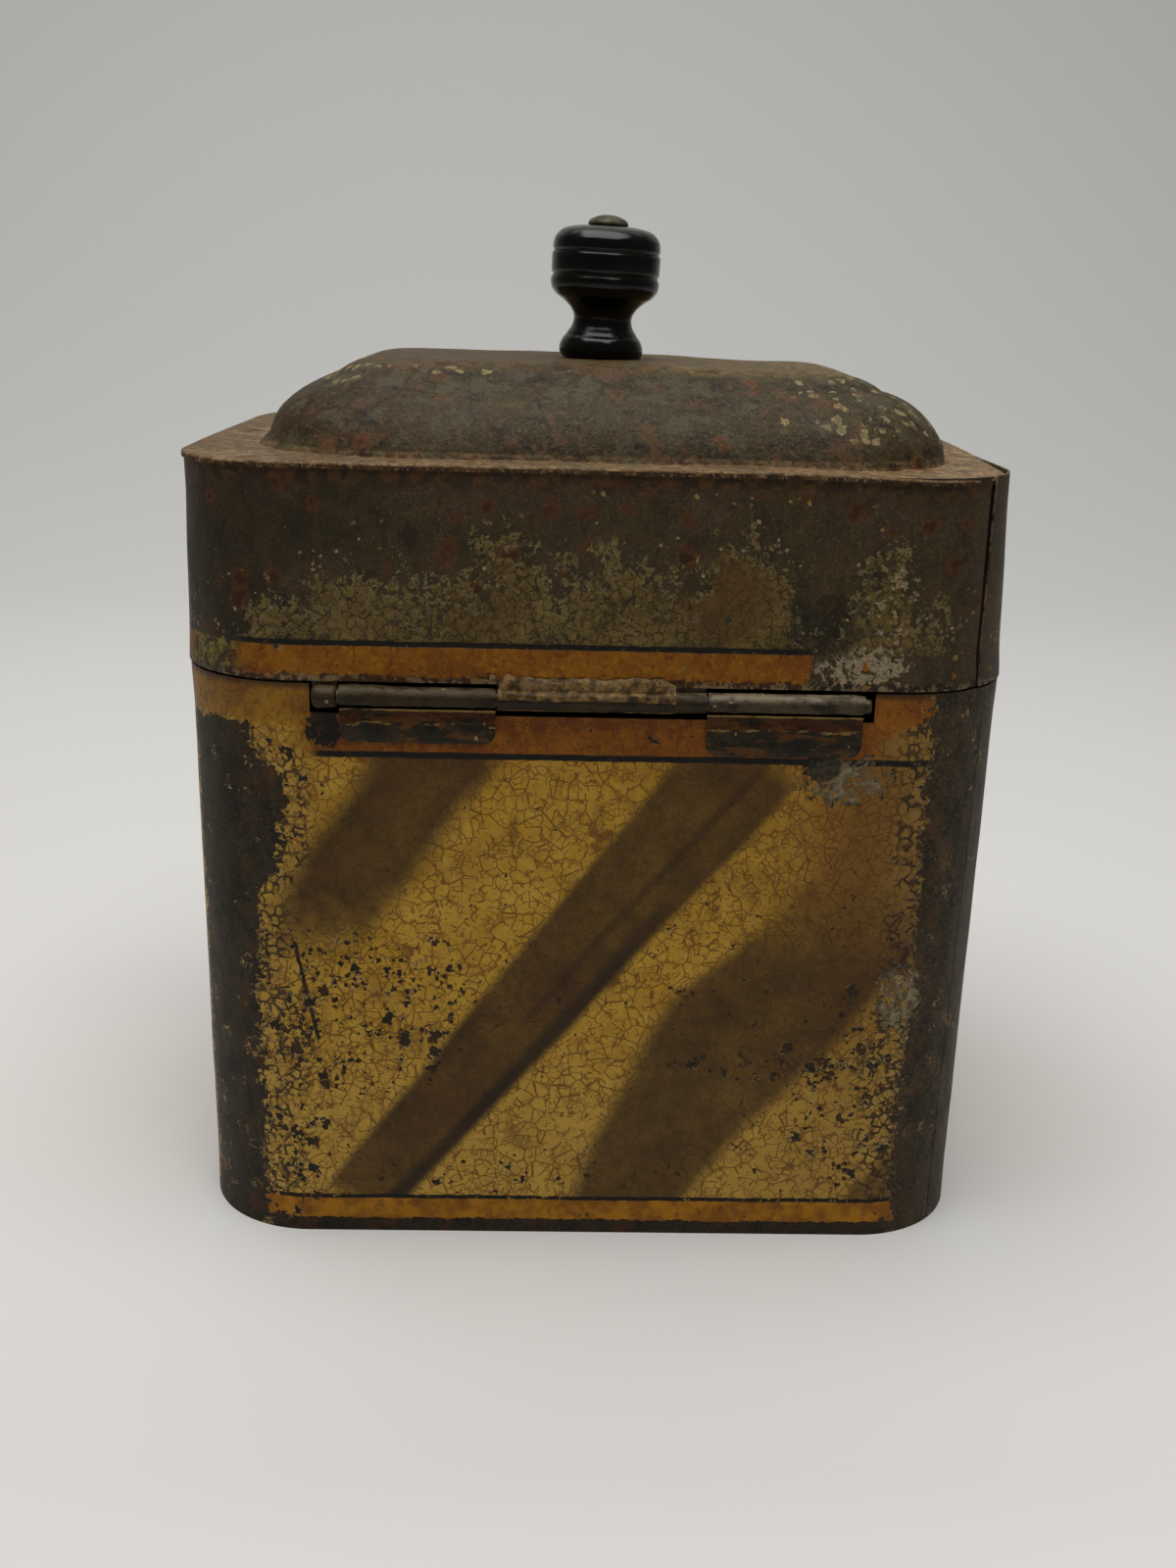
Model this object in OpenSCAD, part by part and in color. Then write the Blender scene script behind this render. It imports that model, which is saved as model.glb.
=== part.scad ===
// Hinged-lid coffee tin of soldered tinplate with a turned wooden knob.
// Millimetres, +Z up, origin at the centre of the flat bottom. The hinge is on
// the +Y side, so the lid opens from the -Y side. "Left" and "right" are as
// seen by someone who looks at the hinge: left is +X, right is -X.

/* [Body] */
// Outside width of the body at its top edge
body_w = 178; // [150:1:220]
// Outside depth of the body at its top edge, front to hinge side
body_d = 136; // [120:1:170]
// Height of the body from the bottom to its top edge
body_h = 129; // [90:1:180]
// Outside radius of the upright corners at the top edge
corner_r = 26; // [20:0.5:32]
// How much narrower the body is at the bottom, on each side
body_taper = 1.3; // [0.5:0.1:2]
// Thickness of the tinplate walls
sheet_t = 0.45; // [0.4:0.05:0.6]
// Thickness of the flat bottom
bottom_t = 0.5; // [0.4:0.05:0.8]
// Height of the turned-up edge of the bottom, inside the walls
bottom_flange_h = 5; // [3:0.5:8]

/* [Seams] */
// Width of the strip that each sheet laps under the next one, in degrees of the corner
lap_angle = 13; // [8:1:18]
// Place of the body seams, in degrees round the corner from the hinge side
body_seam = 48; // [44:1:50]
// Place of the lid seams, in degrees round the corner from the hinge side
lid_seam = 42.5; // [41:0.5:46]
// Slant of the body sheets' edges, half of it above and below the middle
seam_slant = 0.9; // [0:0.1:1.2]
// Slant of the lid sheets' edges, half of it above and below the middle
lid_seam_slant = 1.6; // [0.6:0.1:1.8]
// Gap between sheet edges at a closed seam
seam_gap = 0.25; // [0.15:0.05:0.4]
// Gap at the bottom of the sprung lid seam, hinge side right corner
open_seam_gap = 1.0; // [0.4:0.1:1.8]
// Gap at the top of the sprung lid seam
open_seam_top = 0.7; // [0.3:0.1:1.2]
// Film of solder between lapped or soldered sheets
solder_film = 0.05; // [0.03:0.01:0.1]

/* [Inner collar] */
// How far the collar stands up into the lid
collar_up = 7; // [5:0.5:9]
// How far the collar reaches down inside the body
collar_down = 10; // [8:0.5:14]
// How far the upper part of the collar is stepped in from the wall
collar_step = 1.1; // [1:0.05:1.5]

/* [Lid] */
// Gap between the body's top edge and the lid's bottom edge
lid_gap = 0.6; // [0.5:0.05:0.9]
// How far the lid's bottom edge stands outside the body, on each side
lid_proud = 0.3; // [0.2:0.05:0.5]
// Height of the lid's band, up to the top of its flat ledge
lid_h = 44.3; // [36:0.1:56]
// How much the band leans in towards the ledge, on each side
lid_taper = 2.3; // [1.5:0.1:3.5]
// Depth of the ledge's edge, folded down over the band
fold_h = 1.2; // [1:0.1:3]

/* [Lid dome] */
// Width of the flat ledge round the dome, in the middle of each side
ledge_w = 11.6; // [9:0.1:13]
// Distance from the ledge's edge to the crease between the dome's two steps
crease_in = 26.9; // [25:0.1:28.5]
// Height of that crease above the ledge
crease_h = 14.5; // [12:0.1:16]
// Distance from the ledge's edge to the flat top of the dome
plateau_in = 36.4; // [34.5:0.1:38.5]
// Height of the flat top above the ledge
dome_h = 17.7; // [17:0.1:20]
// Corner radius of the flat top
plateau_r = 5.8; // [4:0.1:7]
// Angle through which the lower step curves over
low_turn = 58; // [40:1:62]
// Angle through which the upper step curves over
top_turn = 37; // [20:1:40]
// How far the hand-raised dome sits off centre, towards the right
dome_shift = 1.85; // [0:0.05:2.5]

/* [Knob] */
// Largest diameter of the turned knob
knob_d = 25.2; // [22:0.1:28]
// Diameter at the knob's waist
knob_waist_d = 13.5; // [12:0.1:15]
// Diameter of the rounded foot
knob_foot_d = 19.6; // [18:0.1:21]
// Height of the knob without the bolt's head
knob_h = 30.2; // [29:0.1:32]
// Angle at which the knob leans to the right
knob_lean = 2; // [0:0.25:2.5]
// Offset of the knob's foot to the right of the centre
knob_off = 0.3; // [0:0.1:2]
// Diameter of the bolt's domed head
bolt_head_d = 9.3; // [8:0.1:10.5]
// Height of the bolt's domed head
bolt_head_h = 2.4; // [2:0.1:3]
// Diameter of the bolt's shank
bolt_d = 3.4; // [3:0.1:3.5]

/* [Hinge] */
// Outside diameter of the rolled knuckles
knuckle_d = 4.6; // [4.4:0.1:5]
// Diameter of the hinge wire
pin_d = 3; // [2.8:0.05:3.1]
// Running clearance of the wire in the knuckles, all round
pin_clear = 0.05; // [0.03:0.01:0.08]
// Thickness of the hinge leaves
leaf_t = 0.7; // [0.6:0.05:0.8]
// Distance of the hinge axis below the body's top edge
axis_drop = 2.6; // [2.5:0.05:2.8]
// Distance of the hinge axis outside the body's wall
axis_out = 0.3; // [0.2:0.05:0.4]
// Gap between neighbouring knuckles
knuckle_gap = 0.35; // [0.3:0.05:0.5]
// Height of the leaf inside the lid
lid_leaf_h = 13; // [10:0.5:18]

/* [Hidden] */
$fn = 96;
e = 0.01;

// centres of the upright corners, shared by body, collar and lid band
cx = body_w / 2 - corner_r;
cy = body_d / 2 - corner_r;
// outside radius of the body at height z, and of the lid band at height z above its bottom edge
function rb(z) = corner_r - body_taper * (1 - z / body_h);
function rl(z) = corner_r + lid_proud - lid_taper * z / lid_h;
lid_z = body_h + lid_gap;      // bottom edge of the lid
ledge_z = lid_z + lid_h;       // top of the ledge
band_top = lid_h - sheet_t - 0.05;
fold_r = rl(lid_h) + sheet_t + solder_film;  // outside radius of the folded edge

// hinge stations along X, from the left end to the right end
x_notch_l = 60.1;
x_tip = 59.5;
x_left_out = 54.1;
x_left_in = 21.4;
x_right_in = -22.4;
x_right_out = -55.3;
x_stub = -56.8;
x_notch_r = -57.7;
axis_y = body_d / 2 + axis_out;
axis_z = body_h - axis_drop;
notch_z = body_h - 6.3;
left_leaf_z = body_h - 12.4;
right_leaf_z = body_h - 14.1;

// dome: radius of its outline at the foot and its corner centres
foot_r = plateau_r + plateau_in - ledge_w;
dome_cx = cx + fold_r - plateau_in - plateau_r;
dome_cy = cy + fold_r - plateau_in - plateau_r;
plateau_z = ledge_z + dome_h;

// ---- shapes shared by several pieces ----

// one upright corner, from angle a0 to a1, of a 2D profile whose x is the
// distance out from the corner's centre
module corner(x, y, a0, a1) {
    translate([x, y, 0]) rotate([0, 0, a0]) rotate_extrude(angle = a1 - a0) children();
}
// straight panels between the corners, on the side that faces each way
module panel_right(x, y) { translate([x, y, 0]) rotate([90, 0, 0]) linear_extrude(2 * y) children(); }
module panel_side(x, y, a) {
    if (a == 0) panel_right(x, y) children();
    if (a == 90) rotate([0, 0, 90]) panel_right(y, x) children();
    if (a == 180) rotate([0, 0, 180]) panel_right(x, y) children();
    if (a == 270) rotate([0, 0, 270]) panel_right(y, x) children();
}
// the whole way round
module around(x, y) {
    union() {
        for (a = [0, 90, 180, 270]) panel_side(x, y, a) children();
        corner(x, y, 0, 90) children();
        corner(-x, y, 90, 180) children();
        corner(-x, -y, 180, 270) children();
        corner(x, -y, 270, 360) children();
    }
}
// points of a rising arc from p to q that curves over through the angle turn,
// moved along the sheet's inward normal by t
function arc_pts(p, q, turn, n, t) =
    let (dx = q[0] - p[0], dz = q[1] - p[1], ch = sqrt(dx * dx + dz * dz),
         r = ch / (2 * sin(turn / 2)), s0 = atan2(dz, dx) + turn / 2)
    [for (i = [0:n]) let (s = s0 - turn * i / n)
        [p[0] + r * (sin(s0) - sin(s)) + t * sin(s), p[1] + r * (cos(s) - cos(s0)) - t * cos(s)]];
// the same list the other way round
function back(v) = [for (i = [len(v) - 1:-1:0]) v[i]];
// turns inset distances from the ledge's edge into radii about the dome's corner centres
function to_r(v) = [for (p = v) [foot_r - (p[0] - ledge_w), p[1]]];

// a wall sheet that goes round half the body or half the lid band
// f0, f1: outside radius at the bottom and at the top; z0, z1: heights; s: seam angle
module wall_profile(f0, f1, z0, z1, r_in, r_out) {
    polygon([[f0 - r_in, z0], [f0 - r_out, z0], [f1 - r_out, z1], [f1 - r_in, z1]]);
}
// a block that trims a sheet at the corner centred on x, y: its edge lies at
// angle a about that centre, t0 mm further round at height z0 and t1 at z1
module seam_cut(x, y, a, z0, z1, t0, t1, side) {
    translate([x, y, 0]) rotate([0, 0, a]) translate([2, 0, 0]) rotate([90, 0, 90])
        linear_extrude(corner_r + 6)
            polygon([[t0, z0 - 1], [t0 + side * 40, z0 - 1], [t1 + side * 40, z1 + 1], [t1, z1 + 1]]);
}
// the sheet round the hinge side and the left side; its edge runs at a slant
module back_half(f0, f1, z0, z1, s, t0, t1) {
    union() {
        panel_side(cx, cy, 90) wall_profile(f0, f1, z0, z1, sheet_t, 0);
        corner(cx, cy, 0, 90) wall_profile(f0, f1, z0, z1, sheet_t, 0);
        panel_side(cx, cy, 0) wall_profile(f0, f1, z0, z1, sheet_t, 0);
        difference() {
            corner(cx, -cy, 270, 360) wall_profile(f0, f1, z0, z1, sheet_t, 0);
            seam_cut(cx, -cy, 315, z0, z1, 0, 0, -1);
        }
        difference() {
            corner(-cx, cy, 90, 180) wall_profile(f0, f1, z0, z1, sheet_t, 0);
            seam_cut(-cx, cy, 90 + s, z0, z1, t0, t1, 1);
        }
    }
}
// the sheet round the front and the right side; it carries the laps, which stay
// between heights l0 and l1
module front_half(f0, f1, z0, z1, s, t0, t1, l0, l1) {
    k = (f1 - f0) / (z1 - z0);
    in0 = sheet_t + solder_film;
    g0 = f0 + k * (l0 - z0);
    g1 = f0 + k * (l1 - z0);
    far = 315 - seam_gap / corner_r * 57.3;
    union() {
        panel_side(cx, cy, 270) wall_profile(f0, f1, z0, z1, sheet_t, 0);
        corner(-cx, -cy, 180, 270) wall_profile(f0, f1, z0, z1, sheet_t, 0);
        panel_side(cx, cy, 180) wall_profile(f0, f1, z0, z1, sheet_t, 0);
        corner(cx, -cy, 270, far) wall_profile(f0, f1, z0, z1, sheet_t, 0);
        difference() {
            corner(-cx, cy, 90, 180) wall_profile(f0, f1, z0, z1, sheet_t, 0);
            seam_cut(-cx, cy, 90 + s, z0, z1, t0, t1, -1);
        }
        // lap under the back sheet, and the joggle that sets it in
        corner(-cx, cy, 90 + s - lap_angle, 90 + s + 8) wall_profile(g0, g1, l0, l1, in0 + sheet_t, in0);
        corner(-cx, cy, 90 + s + 6, 90 + s + 9)
            wall_profile(g0, g1, l0 + 0.2, l1 - 0.2, in0 + sheet_t - 0.1, sheet_t - 0.2);
        // the same at the opposite corner
        corner(cx, -cy, far - 6, far + lap_angle) wall_profile(g0, g1, l0, l1, in0 + sheet_t, in0);
        corner(cx, -cy, far - 7, far - 4)
            wall_profile(g0, g1, l0 + 0.2, l1 - 0.2, in0 + sheet_t - 0.1, sheet_t - 0.2);
    }
}

// ---- the body ----

module bottom_plate() {
    ro = -sheet_t - solder_film;
    h = bottom_flange_h;
    color("dimgray") union() {
        translate([-cx, -cy, 0]) cube([2 * cx, 2 * cy, bottom_t]);
        around(cx, cy) polygon([[0, 0], [rb(0) + ro, 0], [rb(h) + ro, h], [rb(h) + ro - bottom_t, h],
            [rb(bottom_t) + ro - bottom_t, bottom_t], [0, bottom_t]]);
    }
}

module body_back_sheet() {
    color("darkkhaki") difference() {
        back_half(rb(0), rb(body_h), 0, body_h, body_seam, -seam_slant, seam_slant);
        // the notch that lets the knuckles turn
        translate([x_notch_r, cy + corner_r - 4, notch_z]) cube([x_notch_l - x_notch_r, 8, body_h]);
    }
}

module body_front_sheet() {
    color("darkkhaki")
        front_half(rb(0), rb(body_h), 0, body_h, body_seam, seam_gap - seam_slant, seam_gap + seam_slant,
                   bottom_flange_h + 0.5, body_h - collar_down - 0.5);
}

module inner_collar() {
    r1 = -sheet_t - solder_film;
    z0 = body_h - collar_down;
    zs = body_h - 2.4;
    ze = body_h - 1.0;
    z1 = body_h + collar_up;
    color("gray") difference() {
        around(cx, cy) polygon([
            [rb(z0) + r1 - sheet_t, z0], [rb(z0) + r1, z0], [rb(zs) + r1, zs],
            [rb(ze) + r1 - collar_step, ze], [corner_r + r1 - collar_step, z1],
            [corner_r + r1 - collar_step - sheet_t, z1], [rb(ze) + r1 - collar_step - sheet_t, ze - 0.3],
            [rb(zs) + r1 - sheet_t, zs - 0.3]]);
        // it stops either side of the hinge
        translate([x_notch_r - 1.5, cy + 10, z0 - 1]) cube([x_notch_l - x_notch_r + 3, 30, z1]);
    }
}

// ---- the hinge ----

module knuckle_tube(x0, x1) {
    translate([x0, axis_y, axis_z]) rotate([0, 90, 0]) cylinder(d = knuckle_d, h = x1 - x0);
}
module knuckle_bore() {
    translate([x_stub - 5, axis_y, axis_z]) rotate([0, 90, 0])
        cylinder(d = pin_d + 2 * pin_clear, h = x_tip - x_stub + 10);
}
// a leaf soldered flat on the outside of the body, rolled round the wire at its top
module body_leaf(x0, x1, zb) {
    zt = axis_z - knuckle_d / 2 + 0.4;
    s = solder_film;
    difference() {
        union() {
            knuckle_tube(x0, x1);
            translate([x0, 0, 0]) rotate([90, 0, 90]) linear_extrude(x1 - x0)
                polygon([[cy + rb(zb) + s, zb], [cy + rb(zb) + s + leaf_t, zb],
                         [cy + rb(zt) + s + leaf_t, zt], [cy + rb(zt) + s, zt]]);
        }
        knuckle_bore();
    }
}
module hinge_leaf_left() {
    color("dimgray") body_leaf(x_left_in + knuckle_gap / 2, x_left_out - knuckle_gap / 2, left_leaf_z);
}
module hinge_leaf_right() {
    color("dimgray") body_leaf(x_right_out, x_right_in - knuckle_gap / 2, right_leaf_z);
}
module hinge_pin() {
    color("slategray") translate([x_stub, axis_y, axis_z]) rotate([0, 90, 0])
        cylinder(d = pin_d, h = x_tip - x_stub - 0.6);
}
// the leaf inside the lid, one strip with two knuckles
module lid_hinge_leaf() {
    r_in = sheet_t + solder_film;
    zl = lid_z + 0.1;
    zb = axis_z + knuckle_d / 2 - 0.5;
    color("dimgray") difference() {
        union() {
            for (p = [[x_left_out + knuckle_gap / 2, x_tip], [x_right_in + knuckle_gap / 2, x_left_in - knuckle_gap / 2]]) {
                knuckle_tube(p[0], p[1]);
                translate([p[0], 0, 0]) rotate([90, 0, 90]) linear_extrude(p[1] - p[0])
                    polygon([[cy + rl(0) - r_in - leaf_t, zb], [cy + rl(0) - r_in, zb],
                             [cy + rl(0) - r_in, zl], [cy + rl(0) - r_in - leaf_t, zl]]);
            }
            translate([x_right_in + knuckle_gap / 2, 0, 0]) rotate([90, 0, 90])
                linear_extrude(x_tip - x_right_in - knuckle_gap / 2)
                    polygon([[cy + rl(0) - r_in - leaf_t, zl], [cy + rl(0) - r_in, zl],
                             [cy + rl(lid_leaf_h) - r_in, lid_z + lid_leaf_h],
                             [cy + rl(lid_leaf_h) - r_in - leaf_t, lid_z + lid_leaf_h]]);
        }
        knuckle_bore();
    }
}
// solder run along the top of the middle knuckle, up to the lid's edge
module lid_hinge_solder() {
    k = knuckle_d / 2 + 0.04;
    color("gray") translate([-15.5, 0, 0]) rotate([90, 0, 90]) linear_extrude(36.2)
        polygon(concat([for (a = [8:4:32]) [axis_y + k * sin(a), axis_z + k * cos(a)]],
            [[axis_y + 1.05, lid_z - 0.3], [axis_y + 0.75, lid_z + 0.9],
             [cy + rl(1.6) + 0.03, lid_z + 1.6], [cy + rl(0) + 0.03, lid_z]]));
}

// ---- the lid ----

module lid_band_back() {
    color("peru") translate([0, 0, lid_z])
        back_half(rl(0), rl(band_top), 0, band_top, lid_seam, -lid_seam_slant, lid_seam_slant);
}

// its edge stands away from the back one towards the bottom, where the seam has sprung
module lid_band_front() {
    color("peru") translate([0, 0, lid_z])
        front_half(rl(0), rl(band_top), 0, band_top, lid_seam, open_seam_gap - lid_seam_slant, open_seam_top + lid_seam_slant,
                   0, band_top);
}

// flat ledge with its edge folded down, and the two-step dome
module lid_top() {
    low = [[ledge_w, ledge_z], [crease_in, ledge_z + crease_h]];
    top = [[crease_in, ledge_z + crease_h], [plateau_in, plateau_z]];
    outer = concat(arc_pts(low[0], low[1], low_turn, 10, 0),
                   [for (i = [1:6]) arc_pts(top[0], top[1], top_turn, 6, 0)[i]]);
    inner = concat(arc_pts(low[0], low[1], low_turn, 10, sheet_t), arc_pts(top[0], top[1], top_turn, 6, sheet_t));
    color("gray") difference() {
        union() {
            // ledge, cut away under the dome
            difference() {
                translate([0, 0, ledge_z - sheet_t]) union() {
                    translate([-cx, -cy, 0]) cube([2 * cx, 2 * cy, sheet_t]);
                    around(cx, cy) square([fold_r, sheet_t]);
                }
                translate([-dome_shift, 0, ledge_z - 2]) union() {
                    translate([-dome_cx, -dome_cy, 0]) cube([2 * dome_cx, 2 * dome_cy, 4]);
                    around(dome_cx, dome_cy) square([foot_r, 4]);
                }
            }
            // folded edge
            around(cx, cy) polygon([[fold_r - sheet_t, ledge_z - sheet_t], [fold_r, ledge_z - sheet_t],
                [fold_r + lid_taper * fold_h / lid_h, ledge_z - sheet_t - fold_h],
                [fold_r - sheet_t + lid_taper * fold_h / lid_h, ledge_z - sheet_t - fold_h]]);
            // dome
            translate([-dome_shift, 0, 0]) union() {
                translate([-dome_cx, -dome_cy, plateau_z - sheet_t])
                    cube([2 * dome_cx, 2 * dome_cy, sheet_t]);
                around(dome_cx, dome_cy) polygon(concat(
                    to_r(outer), [[0, plateau_z], [0, plateau_z - sheet_t]],
                    back(to_r(inner)), [[foot_r, ledge_z - sheet_t]]));
            }
        }
        // hole for the knob's bolt
        knob_frame() translate([0, 0, -5]) cylinder(d = bolt_d + 0.4, h = 10);
    }
}

// ---- the knob and its fastening ----

knob_lift = knob_foot_d / 2 * sin(knob_lean) + 0.02;
module knob_frame() {
    translate([-knob_off, 0, plateau_z]) rotate([0, -knob_lean, 0]) children();
}
module knob() {
    R = knob_d / 2;
    rw = knob_waist_d / 2;
    rf = knob_foot_d / 2;
    zw = 9.3;
    color([0.07, 0.06, 0.06]) knob_frame() translate([0, 0, knob_lift]) difference() {
        rotate_extrude() polygon(concat(
            [[0, 0], [rf - 1.3, 0]],
            // rounded foot
            [for (a = [-60:20:60]) [rf - 2.65 + 2.65 * cos(a), 2.75 + 2.65 * sin(a)]],
            // hollow neck
            [for (i = [0:4]) let (a = 62 - 62 * i / 4) [rw + 4.1 - 4.1 * cos(a), zw - 4.1 * sin(a)]],
            [for (i = [1:5]) let (a = 74 * i / 5) [rw + 5.4 - 5.4 * cos(a), zw + 5.4 * sin(a)]],
            // barrel with two turned grooves
            [[R - 1.2, 15.3], [R - 0.3, 16.3], [R, 17.2], [R - 0.05, 18.5], [R - 0.35, 18.95], [R - 0.35, 19.25],
             [R - 0.05, 19.7], [R, 21.5], [R - 0.05, 23.8], [R - 0.35, 24.25], [R - 0.35, 24.55],
             [R - 0.1, 25]],
            // rounded cap
            [for (a = [0:15:75]) [R - 5.4 + 5.25 * cos(a), knob_h - 4.6 + 4.5 * sin(a)]],
            [[bolt_head_d / 2 + 0.5, knob_h], [0, knob_h]]));
        translate([0, 0, -1]) cylinder(d = bolt_d + 0.3, h = knob_h + 2);
    }
}
module knob_bolt() {
    rs = (bolt_head_d * bolt_head_d / 4 + (bolt_head_h - 0.4) * (bolt_head_h - 0.4)) / (2 * (bolt_head_h - 0.4));
    color("silver") knob_frame() translate([0, 0, knob_lift]) union() {
        translate([0, 0, -6.6]) cylinder(d = bolt_d, h = knob_h + 6.6 + 0.05);
        translate([0, 0, knob_h + 0.02]) rotate_extrude()
            polygon(concat([[0, 0], [bolt_head_d / 2, 0]],
                [for (i = [0:8]) let (a = asin(bolt_head_d / 2 / rs) * (1 - i / 8))
                    [rs * sin(a), 0.4 + rs * cos(a) - rs * cos(asin(bolt_head_d / 2 / rs))]]));
    }
}
module knob_washer() {
    color("silver") knob_frame() translate([0, 0, -sheet_t - 1.35]) difference() {
        cylinder(d = 15, h = 0.9);
        translate([0, 0, -1]) cylinder(d = bolt_d + 0.4, h = 3);
    }
}
module knob_nut() {
    color("silver") knob_frame() translate([0, 0, -sheet_t - 4.2]) difference() {
        translate([-3.6, -3.6, 0]) cube([7.2, 7.2, 2.8]);
        translate([0, 0, -1]) cylinder(d = bolt_d + 0.02, h = 5);
    }
}

bottom_plate();
body_back_sheet();
body_front_sheet();
inner_collar();
hinge_leaf_left();
hinge_leaf_right();
hinge_pin();
lid_hinge_leaf();
lid_hinge_solder();
lid_band_back();
lid_band_front();
lid_top();
knob();
knob_bolt();
knob_washer();
knob_nut();
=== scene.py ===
import bpy
import math
import numpy as np
from mathutils import Matrix, Vector


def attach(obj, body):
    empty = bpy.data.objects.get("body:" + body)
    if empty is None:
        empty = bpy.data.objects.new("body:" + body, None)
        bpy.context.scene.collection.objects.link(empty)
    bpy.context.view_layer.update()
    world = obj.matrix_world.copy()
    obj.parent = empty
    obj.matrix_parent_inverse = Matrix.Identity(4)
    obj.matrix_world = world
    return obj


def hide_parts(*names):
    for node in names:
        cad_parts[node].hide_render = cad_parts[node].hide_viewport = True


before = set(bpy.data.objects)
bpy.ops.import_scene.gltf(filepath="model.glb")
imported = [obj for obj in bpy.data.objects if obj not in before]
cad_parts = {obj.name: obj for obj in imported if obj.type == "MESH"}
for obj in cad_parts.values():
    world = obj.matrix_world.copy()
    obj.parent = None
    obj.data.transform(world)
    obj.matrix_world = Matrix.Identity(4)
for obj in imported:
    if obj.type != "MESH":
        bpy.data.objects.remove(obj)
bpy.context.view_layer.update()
scene = bpy.context.scene
scene.view_settings.view_transform = "Standard"
scene.view_settings.look = "None"

# ---------------------------------------------------------------- camera
cam_data = bpy.data.cameras.new("camera")
cam = bpy.data.objects.new("camera", cam_data)
scene.collection.objects.link(cam)
cam.matrix_world = Matrix((
    (-0.9994300606, 0.0179577639, 0.0285844827, 0.011962),
    (0.0221600710, -0.2897589741, 0.9568430740, 0.404263),
    (0.0254653724, 0.9569311656, 0.2891958837, 0.209952),
    (0, 0, 0, 1)))
cam_data.lens = 38.24
cam_data.sensor_width = 36
cam_data.clip_start = 0.01
cam_data.clip_end = 20
scene.camera = cam

# ---------------------------------------------------------------- sizes, in mm, as in the CAD
CX, CY, H = 63.0, 42.0, 129.0
T, FILM = 0.45, 0.05
LZ, LH = 129.6, 44.3
LEDGE_Z = LZ + LH
BAND_TOP = LH - T - 0.05
AX_Y, AX_Z = 68.3, 126.4
NOTCH_L, NOTCH_R, NOTCH_Z = 60.1, -57.7, 122.7
FOLD = 1.2


def rb(z):
    return 26 - 1.3 * (1 - z / H)


def rl(z):
    return 26.3 - 2.3 * z / LH


FOLD_R = rl(LH) + T + FILM
DOME_CX, DOME_CY, FOOT_R, PLATEAU_R, SHIFT = 45.3, 24.3, 30.6, 5.8, -1.85
PLATEAU_Z = LEDGE_Z + 17.7


def smooth(e0, e1, v):
    t = np.clip((np.asarray(v, float) - e0) / (e1 - e0), 0, 1)
    return t * t * (3 - 2 * t)


rng = np.random.default_rng(7)
WAVES = [(rng.normal(size=(14, 3)), rng.uniform(0, 6.28, 14)) for _ in range(8)]


def wave(p, size, k=0):
    """Smooth noise from about -1 to 1 over points in mm, with bumps about size mm across."""
    d, ph = WAVES[k]
    d = d / np.linalg.norm(d, axis=1, keepdims=True)
    f = 2 * math.pi / (size * np.linspace(0.7, 1.9, len(d)))
    return np.sin(np.einsum("...i,ki->...k", p, d * f[:, None]) + ph).sum(-1) / 5.3


# ---------------------------------------------------------------- mesh making
def add_mesh(name, verts, faces, mats, indices=None, angle=32):
    me = bpy.data.meshes.new(name)
    me.from_pydata([tuple(v) for v in np.asarray(verts) * 0.001], [], [tuple(int(i) for i in f) for f in faces])
    for m in mats:
        me.materials.append(m)
    if indices is not None:
        me.polygons.foreach_set("material_index", np.asarray(indices, np.int32))
    me.polygons.foreach_set("use_smooth", np.ones(len(me.polygons), bool))
    me.set_sharp_from_angle(angle=math.radians(angle))
    me.update()
    ob = bpy.data.objects.new(name, me)
    scene.collection.objects.link(ob)
    return ob


def shell(outer, inner, keep=None, wrap=False):
    """A closed skin between two grids of points. Returns vertices, faces and, for each face, 0 outside, 1 inside, 2 rim."""
    R, C = outer.shape[:2]
    cols = C if wrap else C - 1
    if keep is None:
        keep = np.ones((R - 1, cols), bool)
    idx = np.arange(R * C).reshape(R, C)
    n = R * C
    faces, kind = [], []
    edges = {}
    for r in range(R - 1):
        for c in range(cols):
            if not keep[r, c]:
                continue
            d = (c + 1) % C
            a = (idx[r, c], idx[r, d], idx[r + 1, d], idx[r + 1, c])
            faces.append(a)
            kind.append(0)
            faces.append(tuple(i + n for i in reversed(a)))
            kind.append(1)
            for i in range(4):
                e = (a[i], a[(i + 1) % 4])
                if (e[1], e[0]) in edges:
                    del edges[(e[1], e[0])]
                else:
                    edges[e] = True
    for i, j in edges:
        faces.append((j, i, i + n, j + n))
        kind.append(2)
    verts = np.concatenate([outer.reshape(-1, 3), inner.reshape(-1, 3)])
    used = np.unique(np.concatenate([np.array(f) for f in faces]))
    new = -np.ones(len(verts), int)
    new[used] = np.arange(len(used))
    return verts[used], [tuple(new[list(f)]) for f in faces], kind


def join(parts):
    verts, faces, kinds, at = [], [], [], 0
    for v, f, k in parts:
        verts.append(v)
        faces += [tuple(int(i) + at for i in q) for q in f]
        kinds += list(k)
        at += len(v)
    return np.concatenate(verts), faces, kinds


def grid_normals(g, wrap=False):
    if wrap:
        du = np.roll(g, -1, 1) - np.roll(g, 1, 1)
    else:
        du = np.gradient(g, axis=1)
    dv = np.gradient(g, axis=0)
    n = np.cross(du, dv)
    return n / np.maximum(np.linalg.norm(n, axis=-1, keepdims=True), 1e-9)


def arc(cx, cy, a0, a1, n):
    f = np.linspace(0, 1, n)
    return [(cx, cy, a0 + (a1 - a0) * t) for t in f]


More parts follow.
